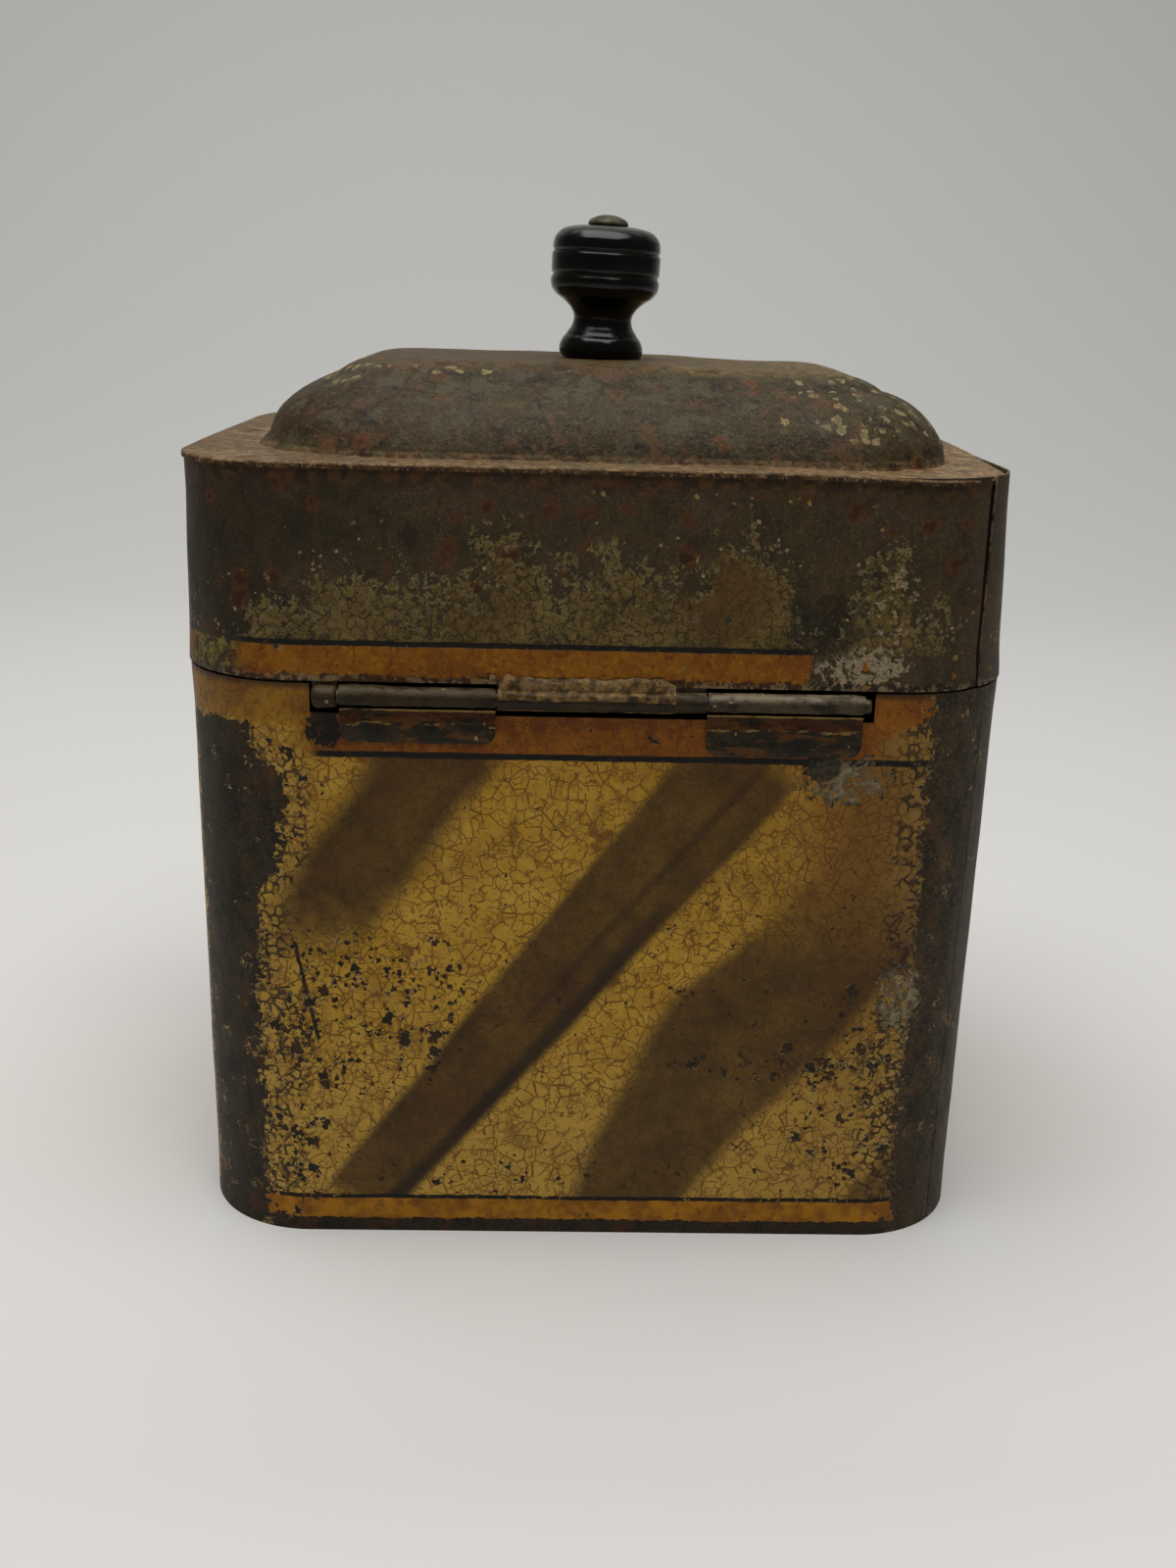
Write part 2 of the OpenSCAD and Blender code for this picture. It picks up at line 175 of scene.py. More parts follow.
def line(x0, y0, x1, y1, a, marks, step=1.6):
    """Points along a straight side, with a point at each mark."""
    length = math.hypot(x1 - x0, y1 - y0)
    at = sorted(set([0.0, length] + [m for m in marks if 0 < m < length]))
    out = []
    for p, q in zip(at, at[1:]):
        k = max(1, int(round((q - p) / step)))
        out += [p + (q - p) * i / k for i in range(k)]
    out.append(length)
    return [(x0 + (x1 - x0) * d / length, y0 + (y1 - y0) * d / length, a) for d in out]


def place(cols, z, r, angles=None):
    """Grid of points: cols (x, y, angle), rows at heights z with corner radii r."""
    cols = np.array(cols)
    ang = np.radians(np.broadcast_to(cols[:, 2], (len(z), len(cols))) if angles is None else angles)
    r = np.asarray(r, float)
    r = r[:, None] if r.ndim == 1 else r
    z = np.asarray(z, float)
    z = np.broadcast_to(z[:, None], (len(z), len(cols)))
    return np.stack([cols[:, 0] + r * np.cos(ang), cols[:, 1] + r * np.sin(ang), z], -1)


def back_sheet(rfun, top, seam, t0, t1, marks_x, z_rows, bend, keep_fun=None):
    c1 = arc(-CX, CY, 90 + seam, 90, 26)
    c2 = line(-CX, CY, CX, CY, 90, marks_x)[1:-1]
    c3 = arc(CX, CY, 90, 0, 30)
    c4 = line(CX, CY, CX, -CY, 0, [])[1:-1]
    c5 = arc(CX, -CY, 0, -45, 16)
    cols = c1 + c2 + c3 + c4 + c5
    z = np.array(z_rows)
    ang = np.broadcast_to(np.array(cols)[:, 2], (len(z), len(cols))).copy()
    edge = 90 + seam + np.degrees((t0 + (t1 - t0) * z / top) / 26)
    f = np.linspace(1, 0, len(c1))
    ang[:, : len(c1)] = 90 + (edge[:, None] - 90) * f
    outer = place(cols, z, rfun(z), ang)
    inner = place(cols, z, rfun(z) - T, ang)
    keep = None
    if keep_fun:
        mid = (outer[1:, 1:] + outer[:-1, :-1]) / 2
        keep = keep_fun(mid)
    return bend(outer, 0), bend(inner, 1), keep


def front_sheet(rfun, top, seam, t0, t1, z_rows, bend):
    gap = math.degrees(0.25 / 26)
    c1 = arc(CX, -CY, -45 - gap, -90, 16)
    c2 = line(CX, -CY, -CX, -CY, -90, [])[1:-1]
    c3 = arc(-CX, -CY, -90, -180, 30)
    c4 = line(-CX, -CY, -CX, CY, -180, [])[1:-1]
    c5 = arc(-CX, CY, -180, -270 + seam, 20)
    cols = c1 + c2 + c3 + c4 + c5
    z = np.array(z_rows)
    ang = np.broadcast_to(np.array(cols)[:, 2], (len(z), len(cols))).copy()
    edge = -270 + seam + np.degrees((t0 + (t1 - t0) * z / top) / 26)
    f = np.linspace(0, 1, len(c5))
    ang[:, -len(c5):] = -180 + (edge[:, None] + 180) * f
    outer = place(cols, z, rfun(z), ang)
    inner = place(cols, z, rfun(z) - T, ang)
    return bend(outer, 0), bend(inner, 1)


def lap(rfun, cx, cy, a0, a1, z_rows, bend):
    cols = arc(cx, cy, a0, a1, 14)
    z = np.array(z_rows)
    return bend(place(cols, z, rfun(z) - T - FILM), 1), bend(place(cols, z, rfun(z) - 2 * T - FILM), 1)


def relabel(part, kinds):
    v, f, k = part
    return v, f, [kinds[i] for i in k]


# ---------------------------------------------------------------- node materials
def lin(c):
    c = c / 255
    return c / 12.92 if c <= 0.04045 else ((c + 0.055) / 1.055) ** 2.4


def rgb(r, g, b, k=1.0):
    return (lin(r) * k, lin(g) * k, lin(b) * k)


class S:
    """A node output, or a number, that can be added, multiplied and so on."""

    def __init__(self, g, v):
        self.g, self.v = g, v

    def __add__(self, o):
        return self.g.math("ADD", self, o)

    def __radd__(self, o):
        return self.g.math("ADD", self, o)

    def __sub__(self, o):
        return self.g.math("SUBTRACT", self, o)

    def __rsub__(self, o):
        return self.g.math("SUBTRACT", o, self)

    def __mul__(self, o):
        return self.g.math("MULTIPLY", self, o)

    def __rmul__(self, o):
        return self.g.math("MULTIPLY", self, o)

    def __truediv__(self, o):
        return self.g.math("DIVIDE", self, o)

    def __neg__(self):
        return self.g.math("MULTIPLY", self, -1.0)


class G:
    """Builds one material's node tree."""

    def __init__(self, name):
        self.mat = bpy.data.materials.new(name)
        self.mat.use_nodes = True
        self.t = self.mat.node_tree
        self.bsdf = self.t.nodes["Principled BSDF"]
        tc = self.t.nodes.new("ShaderNodeTexCoord")
        v = self.t.nodes.new("ShaderNodeVectorMath")
        v.operation = "SCALE"
        self.t.links.new(tc.outputs["Object"], v.inputs[0])
        v.inputs[3].default_value = 1000
        self.P = v.outputs[0]
        sep = self.t.nodes.new("ShaderNodeSeparateXYZ")
        self.t.links.new(self.P, sep.inputs[0])
        self.x, self.y, self.z = (S(self, o) for o in sep.outputs)

    def put(self, sock, v):
        if isinstance(v, S):
            v = v.v
        if isinstance(v, bpy.types.NodeSocket):
            self.t.links.new(v, sock)
        elif isinstance(v, tuple):
            sock.default_value = (*v, 1) if len(sock.default_value) == 4 else v
        else:
            sock.default_value = v

    def math(self, op, *a):
        n = self.t.nodes.new("ShaderNodeMath")
        n.operation = op
        for i, v in enumerate(a):
            self.put(n.inputs[i], v)
        return S(self, n.outputs[0])

    def abs(self, a):
        return self.math("ABSOLUTE", a)

    def max(self, a, b):
        return self.math("MAXIMUM", a, b)

    def min(self, a, b):
        return self.math("MINIMUM", a, b)

    def step(self, e0, e1, v):
        """0 below e0, 1 above e1, smooth between; falls instead if e0 > e1."""
        n = self.t.nodes.new("ShaderNodeMapRange")
        n.interpolation_type = "SMOOTHSTEP"
        n.clamp = True
        self.put(n.inputs["Value"], v)
        lo, hi, a, b = (e0, e1, 0.0, 1.0) if e0 < e1 else (e1, e0, 1.0, 0.0)
        n.inputs["From Min"].default_value = lo
        n.inputs["From Max"].default_value = hi
        n.inputs["To Min"].default_value = a
        n.inputs["To Max"].default_value = b
        return S(self, n.outputs["Result"])

    def ramp(self, v, a, b):
        """v from 0 to 1 gives a to b."""
        n = self.t.nodes.new("ShaderNodeMapRange")
        n.clamp = True
        self.put(n.inputs["Value"], v)
        n.inputs["From Min"].default_value = 0
        n.inputs["From Max"].default_value = 1
        n.inputs["To Min"].default_value = a
        n.inputs["To Max"].default_value = b
        return S(self, n.outputs["Result"])

    def vec(self, scale=(1, 1, 1), off=(0, 0, 0), src=None):
        n = self.t.nodes.new("ShaderNodeVectorMath")
        n.operation = "MULTIPLY_ADD"
        self.put(n.inputs[0], self.P if src is None else src)
        n.inputs[1].default_value = scale
        n.inputs[2].default_value = off
        return n.outputs[0]

    def noise(self, size, detail=3, rough=0.55, off=(0, 0, 0), stretch=(1, 1, 1), dist=0.0, src=None):
        n = self.t.nodes.new("ShaderNodeTexNoise")
        k = 1 / size
        self.put(n.inputs["Vector"], self.vec(tuple(k * s for s in stretch), off, src))
        n.inputs["Scale"].default_value = 1
        n.inputs["Detail"].default_value = detail
        n.inputs["Roughness"].default_value = rough
        n.inputs["Distortion"].default_value = dist
        return S(self, n.outputs["Fac"])

    def warp(self, size, amount, off=(0, 0, 0)):
        """Coordinates pushed about by noise, in mm."""
        n = self.t.nodes.new("ShaderNodeTexNoise")
        self.put(n.inputs["Vector"], self.vec((1 / size,) * 3, off))
        n.inputs["Scale"].default_value = 1
        n.inputs["Detail"].default_value = 2
        m = self.t.nodes.new("ShaderNodeVectorMath")
        m.operation = "MULTIPLY_ADD"
        self.put(m.inputs[0], n.outputs["Color"])
        m.inputs[1].default_value = (amount * 2,) * 3
        m.inputs[2].default_value = (-amount,) * 3
        a = self.t.nodes.new("ShaderNodeVectorMath")
        a.operation = "ADD"
        self.put(a.inputs[0], m.outputs[0])
        self.put(a.inputs[1], self.P)
        return a.outputs[0]

    def cells(self, size, src=None, feature="F1", rand=1.0, off=(0, 0, 0)):
        """Voronoi cells. F1 gives (distance in mm, random value of the cell); DISTANCE_TO_EDGE gives the distance in mm."""
        n = self.t.nodes.new("ShaderNodeTexVoronoi")
        n.feature = feature
        self.put(n.inputs["Vector"], self.vec((1 / size,) * 3, off, src))
        n.inputs["Scale"].default_value = 1
        n.inputs["Randomness"].default_value = rand
        d = S(self, n.outputs["Distance"]) * size
        if feature == "DISTANCE_TO_EDGE":
            return d
        sep = self.t.nodes.new("ShaderNodeSeparateColor")
        self.t.links.new(n.outputs["Color"], sep.inputs[0])
        return d, S(self, sep.outputs[0])

    def mix(self, f, a, b, mode="MIX"):
        n = self.t.nodes.new("ShaderNodeMix")
        n.data_type = "RGBA"
        n.blend_type = mode
        n.clamp_factor = True
        self.put(n.inputs[0], f)
        self.put(n.inputs[6], a)
        self.put(n.inputs[7], b)
        return S(self, n.outputs[2])

    def blob(self, cx, cz, rx, rz, u=None):
        """1 in the middle of a spot at (cx, cz), 0 at its edge."""
        u = self.x if u is None else u
        dx = (u - cx) / rx
        dz = (self.z - cz) / rz
        return self.step(1.0, 0.0, dx * dx + dz * dz)

    def finish(self, color, rough, bump, metal=0.0, dist=0.001, strength=1.0, spec=0.2):
        b = self.bsdf
        b.inputs["Specular IOR Level"].default_value = spec
        self.put(b.inputs["Base Color"], color)
        self.put(b.inputs["Roughness"], rough)
        self.put(b.inputs["Metallic"], metal)
        n = self.t.nodes.new("ShaderNodeBump")
        n.inputs["Strength"].default_value = strength
        n.inputs["Distance"].default_value = dist
        self.put(n.inputs["Height"], bump)
        self.t.links.new(n.outputs[0], b.inputs["Normal"])
        return self.mat


HAZE = 0.011


def tone(r, g, b, e=0.42):
    """Base colour that shows as this colour in the photograph's light, where e is how much light the surface gets."""
    return tuple(max(lin(v) - HAZE, 0.35 * lin(v)) / e for v in (r, g, b))


UP, SLOPE = 0.78, 1.12


def corner_way(g):
    """Distance in mm round the wall from the middle of the nearest upright corner."""
    ax = g.max(g.abs(g.x) - 63.0, 0.0)
    ay = g.max(g.abs(g.y) - 42.0, 0.0)
    th = g.math("ARCTAN2", ay, ax)
    s = g.abs(th - math.pi / 4) * 26.0
    s = s + g.max(63.0 - g.abs(g.x), 0.0)
    return s + g.max(42.0 - g.abs(g.y), 0.0)


def chips(g, size, odds, most, warped, off=(0, 0, 0)):
    """Spots where flakes have gone: how far the point is inside one, in mm. odds runs from 0 to 1."""
    d, r = g.cells(size, warped, off=off)
    radius = g.min((odds - r) * (most * 7.0), most)
    return radius - d, radius


def bare_tin(g):
    """Colour of the dark oxidised plate, with streaks, soiling, rust and pale scratches, and its height."""
    n1 = g.noise(24, 4, 0.6, off=(3, 1, 7))
    n2 = g.noise(5.0, 5, 0.68, stretch=(1, 1, 0.6), off=(9, 2, 4))
    n3 = g.noise(0.9, 3, 0.6, off=(5, 5, 5))
    c = g.mix(g.step(0.35, 0.62, n1), tone(50, 43, 35), tone(42, 39, 27))
    c = g.mix(g.step(0.46, 0.66, n2) * 0.75, c, tone(33, 29, 20))
    c = g.mix(g.step(0.54, 0.40, n2) * g.step(0.45, 0.6, n1) * 0.6, c, tone(60, 48, 38))
    c = g.mix(g.step(0.55, 0.72, n3) * 0.45, c, tone(66, 57, 45))
    c = g.mix(g.step(0.42, 0.32, n3) * 0.5, c, tone(27, 24, 17))
    pit = g.noise(0.55, 2, 0.5, off=(2, 8, 5))
    c = g.mix(g.step(0.56, 0.68, pit) * 0.5, c, tone(74, 65, 51))
    c = g.mix(g.step(0.42, 0.32, pit) * 0.6, c, tone(22, 19, 12))
    blot = g.noise(2.6, 4, 0.68, off=(12, 8, 15))
    c = g.mix(g.step(0.55, 0.64, blot) * 0.6, c, tone(29, 26, 17))
    return c, n1, n2, n3


def rust_spots(g, c, allowed, size=9.0, off=(0.3, 0.4, 0.6), least=-2.2, most=2.2):
    """Round rust spots with dark hearts and orange edges."""
    d, r = g.cells(size, g.warp(2.0, 1.9, off=(4, 4, 4)), off=off)
    inside = g.ramp(r, least, most) - d
    spot = g.step(-0.9, 0.5, inside) * allowed
    heart = g.step(0.1, 1.2, inside) * allowed
    c = g.mix(spot * 0.75, c, tone(62, 42, 22))
    c = g.mix(heart * 0.7, c, tone(34, 24, 13))
    return c, spot


def body_paint():
    g = G("aged_body_paint")
    s = corner_way(g)
    hinge_side = g.step(30.0, 32.0, g.y)
    u, z = g.x, g.z
    c_bare, n1, n2, n3 = bare_tin(g)
    c_bare = g.mix(g.step(30.0, 60.0, u) * 0.5, c_bare, g.mix(g.step(0.4, 0.6, n2), tone(34, 33, 22), tone(24, 23, 14)))
    big = g.noise(18, 4, 0.6, off=(1, 8, 3))
    mid = g.noise(5.5, 4, 0.65, off=(4, 4, 1))
    fine = g.noise(1.3, 3, 0.62, off=(2, 7, 6))
    tiny = g.noise(0.45, 2, 0.6)
    patchy = g.noise(3.0, 3, 0.6, off=(6, 6, 2))

    # how far inside the painted field, past a ragged worn edge
    field = s + (mid - 0.5) * 9.0 + (fine - 0.5) * 7.0 + (patchy - 0.5) * 4.0
    left = g.step(0.0, 20.0, u) * hinge_side
    field = field + left * 2.6 - g.blob(67.0, 99.0, 15.0, 19.0) * hinge_side * 7.0
    field = field + left * g.step(118.5, 121.0, z + (mid - 0.5) * 6.0) * 14.0
    low = g.blob(50.0, 56.0, 34.0, 26.0) + g.blob(68.0, 30.0, 16.0, 34.0) * 0.8
    low = low + g.blob(-62.0, 38.0, 24.0, 34.0) * 0.75 + g.blob(-40.0, 42.5, 26.0, 4.5) * 1.2
    low = low + g.blob(10.0, 14.0, 60.0, 8.0) * 0.25 + g.blob(-25.0, 62.0, 22.0, 3.0) * 0.5
    low = low * hinge_side + (1.0 - hinge_side) * g.step(0.42, 0.72, big) * 0.9
    near_edge = g.step(27.0, 13.0, field)
    paint_in = field - 12.8
    odds = 0.015 + near_edge * 0.24 + low * 0.60
    odds = odds * g.step(0.36, 0.58, g.noise(7.5, 3, 0.6, off=(3, 5, 8))) + 0.008
    big_chip, r1 = chips(g, 3.4, odds, 1.5, g.warp(1.2, 2.1))
    small_chip, r2 = chips(g, 1.6, odds * 1.1, 0.66, g.warp(0.8, 0.95, off=(5, 1, 2)), off=(3, 3, 3))
    lost_in = g.max(g.max(big_chip, small_chip), -paint_in)

    # field colour
    warm = g.noise(9, 4, 0.6, off=(8, 3, 9))
    c = g.mix(g.step(0.3, 0.7, warm), tone(128, 101, 43), tone(116, 89, 35))
    c = g.mix(g.step(0.48, 0.72, patchy) * 0.45, c, tone(136, 111, 54))
    c = g.mix(g.step(0.50, 0.34, fine) * 0.3, c, tone(98, 73, 27))
    right = g.step(-18.0, -66.0, u) * hinge_side
    c = g.mix(right * 0.6, c, tone(80, 58, 26))
    glaze = g.blob(-62.0, 92.0, 26.0, 34.0) * hinge_side
    c = g.mix(glaze * 0.48, c, tone(80, 51, 20))
    c = g.mix(g.step(0.52, 0.72, big) * 0.45, c, tone(84, 62, 27))
    c = g.mix(g.step(100.0, 116.0, z) * 0.3, c, tone(92, 62, 22))
    c = g.mix(near_edge * 0.4, c, tone(118, 99, 56))
    c = g.mix(g.step(60.0, 22.0, z) * hinge_side * 0.45, c, tone(124, 102, 54))

    # thin broken crack lines in three sizes
    W1, W2 = g.warp(2.8, 0.34), g.warp(1.6, 0.2, off=(5, 1, 2))
    e1 = g.cells(3.5, W1, "DISTANCE_TO_EDGE")
    e2 = g.cells(2.3, W2, "DISTANCE_TO_EDGE", off=(7.3, 2.1, 5.5))
    e3 = g.cells(1.25, W2, "DISTANCE_TO_EDGE", off=(1.3, 8.1, 2.5))
    m1 = g.step(0.42, 0.47, g.noise(3.4, 2, 0.6, off=(9, 6, 2)))
    m2 = g.step(0.47, 0.52, g.noise(2.6, 2, 0.6, off=(1, 6, 12)))
    m3 = g.step(0.50, 0.60, g.noise(6.0, 3, 0.6, off=(4, 16, 2)) + near_edge * 0.10)
    cracks = g.step(0.19, 0.06, e1) * m1
    cracks = g.max(cracks, g.step(0.15, 0.04, e2) * m2)
    cracks = g.max(cracks, g.step(0.15, 0.04, e3) * m3 * 0.7)
    gaps = g.step(0.36, 0.20, e2) * g.step(0.25, 0.8, near_edge + low * 0.4) * g.step(0.45, 0.52, patchy)

    # brown strokes, laid on with a broad brush
    wob = (g.noise(30, 2, off=(7, 7, 7)) - 0.5) * 2.4

    def stroke(x0, z0, x1, z1, w0, w1, soft, lo, hi):
        d = math.hypot(x1 - x0, z1 - z0)
        tx, tz = (x1 - x0) / d, (z1 - z0) / d
        across = (u - x0) * tz - (z - z0) * tx + wob
        along = (u - x0) * tx + (z - z0) * tz
        half = (along / d * (w1 - w0) + w0) * 0.5
        m = g.step(-soft, soft, half - g.abs(across))
        return m * g.step(lo - 4.0, lo + 3.0, along + wob) * g.step(d + hi + 4.0, d + hi - 4.0, along), across, half

    def curve(points):
        """X of a line through (z, x) points, straight between them."""
        x = g.ramp(z * 0.0, 0.0, 0.0) + points[0][1]
        for (z0, x0), (z1, x1) in zip(points, points[1:]):
            x = x + g.ramp((z - z0) / (z1 - z0), 0.0, x1 - x0)
        return x

    def leaf(left_line, right_line, soft):
        l, r = curve(left_line), curve(right_line)
        return g.step(-soft, soft, l + wob - u) * g.step(-soft, soft, u - r - wob)

    a = leaf([(66, 70), (80.7, 67.6), (92, 62), (103, 53.5), (112, 48)], [(66, 56), (69, 51.2), (80.7, 42.4), (92, 35), (103, 28.5), (112, 20.6)], 4.2)
    a = a * (g.step(60.0, 84.0, z + (mid - 0.5) * 16.0) * 0.85 + g.step(66.0, 78.0, z + (mid - 0.5) * 16.0) * 0.15)
    b, ab, bh = stroke(46.7, 14.0, -28.5, 109.9, 17.0, 23.5, 1.4, -8, 8)
    c3 = leaf([(8.2, 3.4), (24.7, -1.3), (37.1, -7.6), (51.6, -13.4), (60, -19), (67.2, -27), (76.6, -38.4), (87, -46.2), (96, -53)], [(8.5, -22), (27.6, -35.7), (35.1, -43), (49.9, -56.3), (57.1, -60.2), (64.3, -66.1), (80, -82)], 3.2)
    c3 = c3 * (1.0 - g.step(62.0, 92.0, z) * 0.7)
    d4 = leaf([(2, -52), (9, -58.8), (23.1, -71), (30, -78)], [(2, -95), (30, -95)], 1.6) * g.step(32.0, 24.0, z)
    veil = g.ramp(g.step(0.25, 0.75, g.noise(15, 3, off=(2, 9, 5))), 0.86, 1.0)
    up_b = g.step(118.0, 60.0, z) * 0.08 + 0.92
    strokes = g.max(g.max(a, b * up_b), g.max(c3 * 0.95, d4 * 0.8)) * veil
    strokes = strokes * hinge_side
    cracks = cracks * (1.0 - strokes * 0.72)
    c = g.mix(cracks * 0.78, c, tone(68, 43, 13))
    c = g.mix(gaps * 0.85, c, tone(34, 28, 18))
    streak = g.noise(3.0, 4, 0.65, stretch=(1, 1, 1), off=(1, 1, 3))
    sc = g.mix(g.step(0.3, 0.7, warm), tone(50, 36, 13), tone(39, 29, 10))
    sc = g.mix(g.step(0.48, 0.7, streak) * 0.35, sc, tone(66, 47, 20))
    c = g.mix(strokes * 0.94, c, sc)
    edge_dark = g.step(3.4, 0.6, g.abs(ab + bh - 1.8)) * b * g.step(92.0, 62.0, z) * hinge_side
    c = g.mix(edge_dark * 0.75, c, tone(30, 22, 10))
    mid_line = g.step(1.6, 0.3, g.abs(ab + bh - 8.5)) * b * g.step(40.0, 62.0, z) * hinge_side
    c = g.mix(mid_line * 0.5, c, tone(42, 31, 14))
    c = g.mix(cracks * strokes * 0.5, c, tone(38, 27, 12))
    scratch_d = g.math("ABSOLUTE", (u - 64.7) * 0.979 - (z - 71.5) * 0.202 + (fine - 0.5) * 1.2)
    scratch = g.step(0.55, 0.25, scratch_d) * g.step(47.0, 49.0, z) * g.step(72.5, 70.0, z) * hinge_side

    # yellow bands with their black lines
    wz = z + (mid - 0.5) * 0.7
    rag = (fine - 0.5) * 4.0 + (mid - 0.5) * 4.0
    y_top = g.step(114.4, 114.7, wz)
    left_lift = g.step(61.0, 66.0, u) * hinge_side
    y_top = y_top * (1.0 - left_lift * g.step(121.0, 119.5, wz + rag))
    right_cut = g.step(-57.0, -60.0, u) * hinge_side
    y_top = y_top * (1.0 - right_cut * g.step(0.6, -0.6, wz + rag * 0.5 - 119.0 + (u + 59.0) * 0.42))
    y_bot = g.step(8.5, 8.2, wz) * g.step(2.6, 3.4, z + rag * 0.5)
    yc = g.mix(g.step(0.3, 0.7, mid), tone(94, 59, 2), tone(81, 47, 2))
    yc = g.mix(g.step(56.0, 62.0, u) * 0.6, yc, tone(104, 82, 34))
    yc = g.mix(g.step(0.48, 0.68, fine) * 0.5, yc, tone(104, 72, 12))
    yc = g.mix(g.step(0.48, 0.66, big) * 0.5, yc, tone(62, 36, 5))
    yc = g.mix(g.step(0.16, 0.04, e2) * m2 * 0.4, yc, tone(50, 28, 5))
    c = g.mix(y_top, c, yc)
    ycb = g.mix(g.step(0.4, 0.6, mid), tone(114, 78, 12), tone(92, 60, 10))
    ycb = g.mix(g.step(0.54, 0.64, patchy) * 0.45, ycb, tone(62, 44, 18))
    c = g.mix(y_bot, c, ycb)
    ink = tone(17, 15, 9)
    l_top = g.step(0.85, 0.55, g.abs(wz - 113.9)) * g.step(0.34, 0.40, fine + (1.0 - near_edge) * 0.10)
    l_top = l_top * g.step(62.0, 58.0, u)
    l_bot = g.step(0.62, 0.38, g.abs(wz - 8.8)) * g.step(0.38, 0.46, fine + (1.0 - near_edge) * 0.05)
    c = g.mix(l_top, c, ink)
    c = g.mix(l_bot, c, ink)
    # darker brown mottling below the hinge, and painted shadow along the wall's top edge under the lid's edge
    darker_below_hinge = g.blob(0.0, 120.5, 62.0, 4.5) * 0.3 * hinge_side
    c = g.mix(darker_below_hinge * g.step(0.4, 0.6, mid), c, tone(54, 37, 10))
    # painted shadow: the top 2 mm of the wall darkened where the lid's edge shades the gap
    painted_shadow_under_lid = g.step(126.9, 128.9, z + rag * 0.3) * 0.75
    c = g.mix(painted_shadow_under_lid, c, tone(34, 28, 17))
    c = g.mix(g.step(0.56, 0.62, g.noise(4.0, 4, 0.7, stretch=(1, 1, 0.7), off=(6, 2, 19))) * y_top * 0.5, c, tone(60, 36, 4))
    # dark smears where the brush and grime ran
    smear = g.step(0.60, 0.70, g.noise(8.0, 4, 0.66, stretch=(1, 1, 0.5), off=(15, 9, 9)))
    c = g.mix(smear * 0.35, c, tone(58, 42, 20))

    # patches worn through, and the bare foot of the wall
    bright = g.max(g.blob(-53.0, 110.0, 13.0, 8.0), g.blob(-67.5, 60.0, 8.0, 12.0) * 0.85) * hinge_side
    black = g.max(g.blob(-47.5, 112.6, 5.6, 4.4), g.blob(57.2, 119.4, 4.8, 6.0)) * hinge_side
    foot = g.step(4.4, 2.2, z + rag * 0.4)
    worn = g.max(bright * 1.0 + (fine - 0.5) * 3.4 + (patchy - 0.5) * 2.6 - 0.80, black * 1.5 + (fine - 0.5) * 3.2 + (patchy - 0.5) * 2.0 - 0.72)
    worn = g.max(worn, foot * 2.0 - 1.0)
    lost_in = g.max(lost_in, worn)
    lost_in = g.max(lost_in, scratch * 2.0 - 1.0)
    gone = g.step(-0.07, 0.07, lost_in)
    # painted highlight: pale rims along chip edges and the paint's worn edge, where the raised flake edges catch the
    # light
    ring1 = g.step(0.24, 0.06, g.abs(big_chip + 0.15)) * g.step(0.2, 0.5, r1)
    ring2 = g.step(0.30, 0.06, g.abs(paint_in - 0.2))
    rim = g.max(ring1, ring2) * g.step(0.45, 0.56, patchy) * (1.0 - strokes * 0.6)

    # pale specks of tin and old paint on the bare plate
    fl, _ = chips(g, 1.7, g.step(40.0, 2.0, field) * 0.07 + 0.01, 0.34, g.warp(0.7, 0.5, off=(8, 1, 2)), off=(6, 3, 9))
    fleck = g.step(-0.05, 0.08, fl) * g.step(0.42, 0.55, n2)
    bright_spots = g.step(0.30, 0.60, bright * 0.9 + (g.noise(1.4, 3, 0.7, off=(3, 1, 9)) - 0.5) * 1.8)
    c_low = g.mix(fleck * 0.5, c_bare, tone(88, 78, 58))
    c_low = g.mix(bright_spots * 0.85, c_low, g.mix(g.step(0.4, 0.6, fine), tone(100, 92, 74), tone(70, 62, 48)))
    c_low = g.mix(g.step(0.3, 0.6, black + (fine - 0.5) * 0.5) * 0.8, c_low, tone(22, 19, 13))
    c_low = g.mix(g.step(13.2, 14.4, field) * (1.0 - bright_spots) * 0.6, c_low, tone(31, 28, 20))
    # brown stain and old glaze where the paint has worn thin
    stain = g.step(0.50, 0.62, g.noise(5.0, 4, 0.66, off=(5, 9, 1))) * g.step(2.0, 10.0, field)
    c_low = g.mix(stain * 0.5, c_low, tone(58, 41, 22))
    c_low, spot = rust_spots(g, c_low, g.step(0.45, 0.6, n1), 10.0)

    color = g.mix(gone, c, c_low)
    # pale rims: painted highlight
    color = g.mix(rim * 0.7, color, tone(122, 104, 66))
    # thin film of dirt over all
    color = g.mix(g.step(0.55, 0.72, g.noise(2.4, 4, 0.7, off=(9, 9, 9))) * 0.32, color, tone(46, 36, 20))

    rough = g.mix(gone, g.ramp(fine, 0.38, 0.62), g.ramp(n2, 0.46, 0.7))
    stay = 1.0 - gone
    height = stay * 0.14 - cracks * stay * 0.06 - gaps * stay * 0.08 + (fine - 0.5) * 0.05 * stay + (tiny - 0.5) * 0.02
    height = height + (n3 - 0.5) * 0.05 * gone + (n2 - 0.5) * 0.06 + rim * 0.06
    return g.finish(color, rough, height, gone * 0.12, 0.001, 1.0)


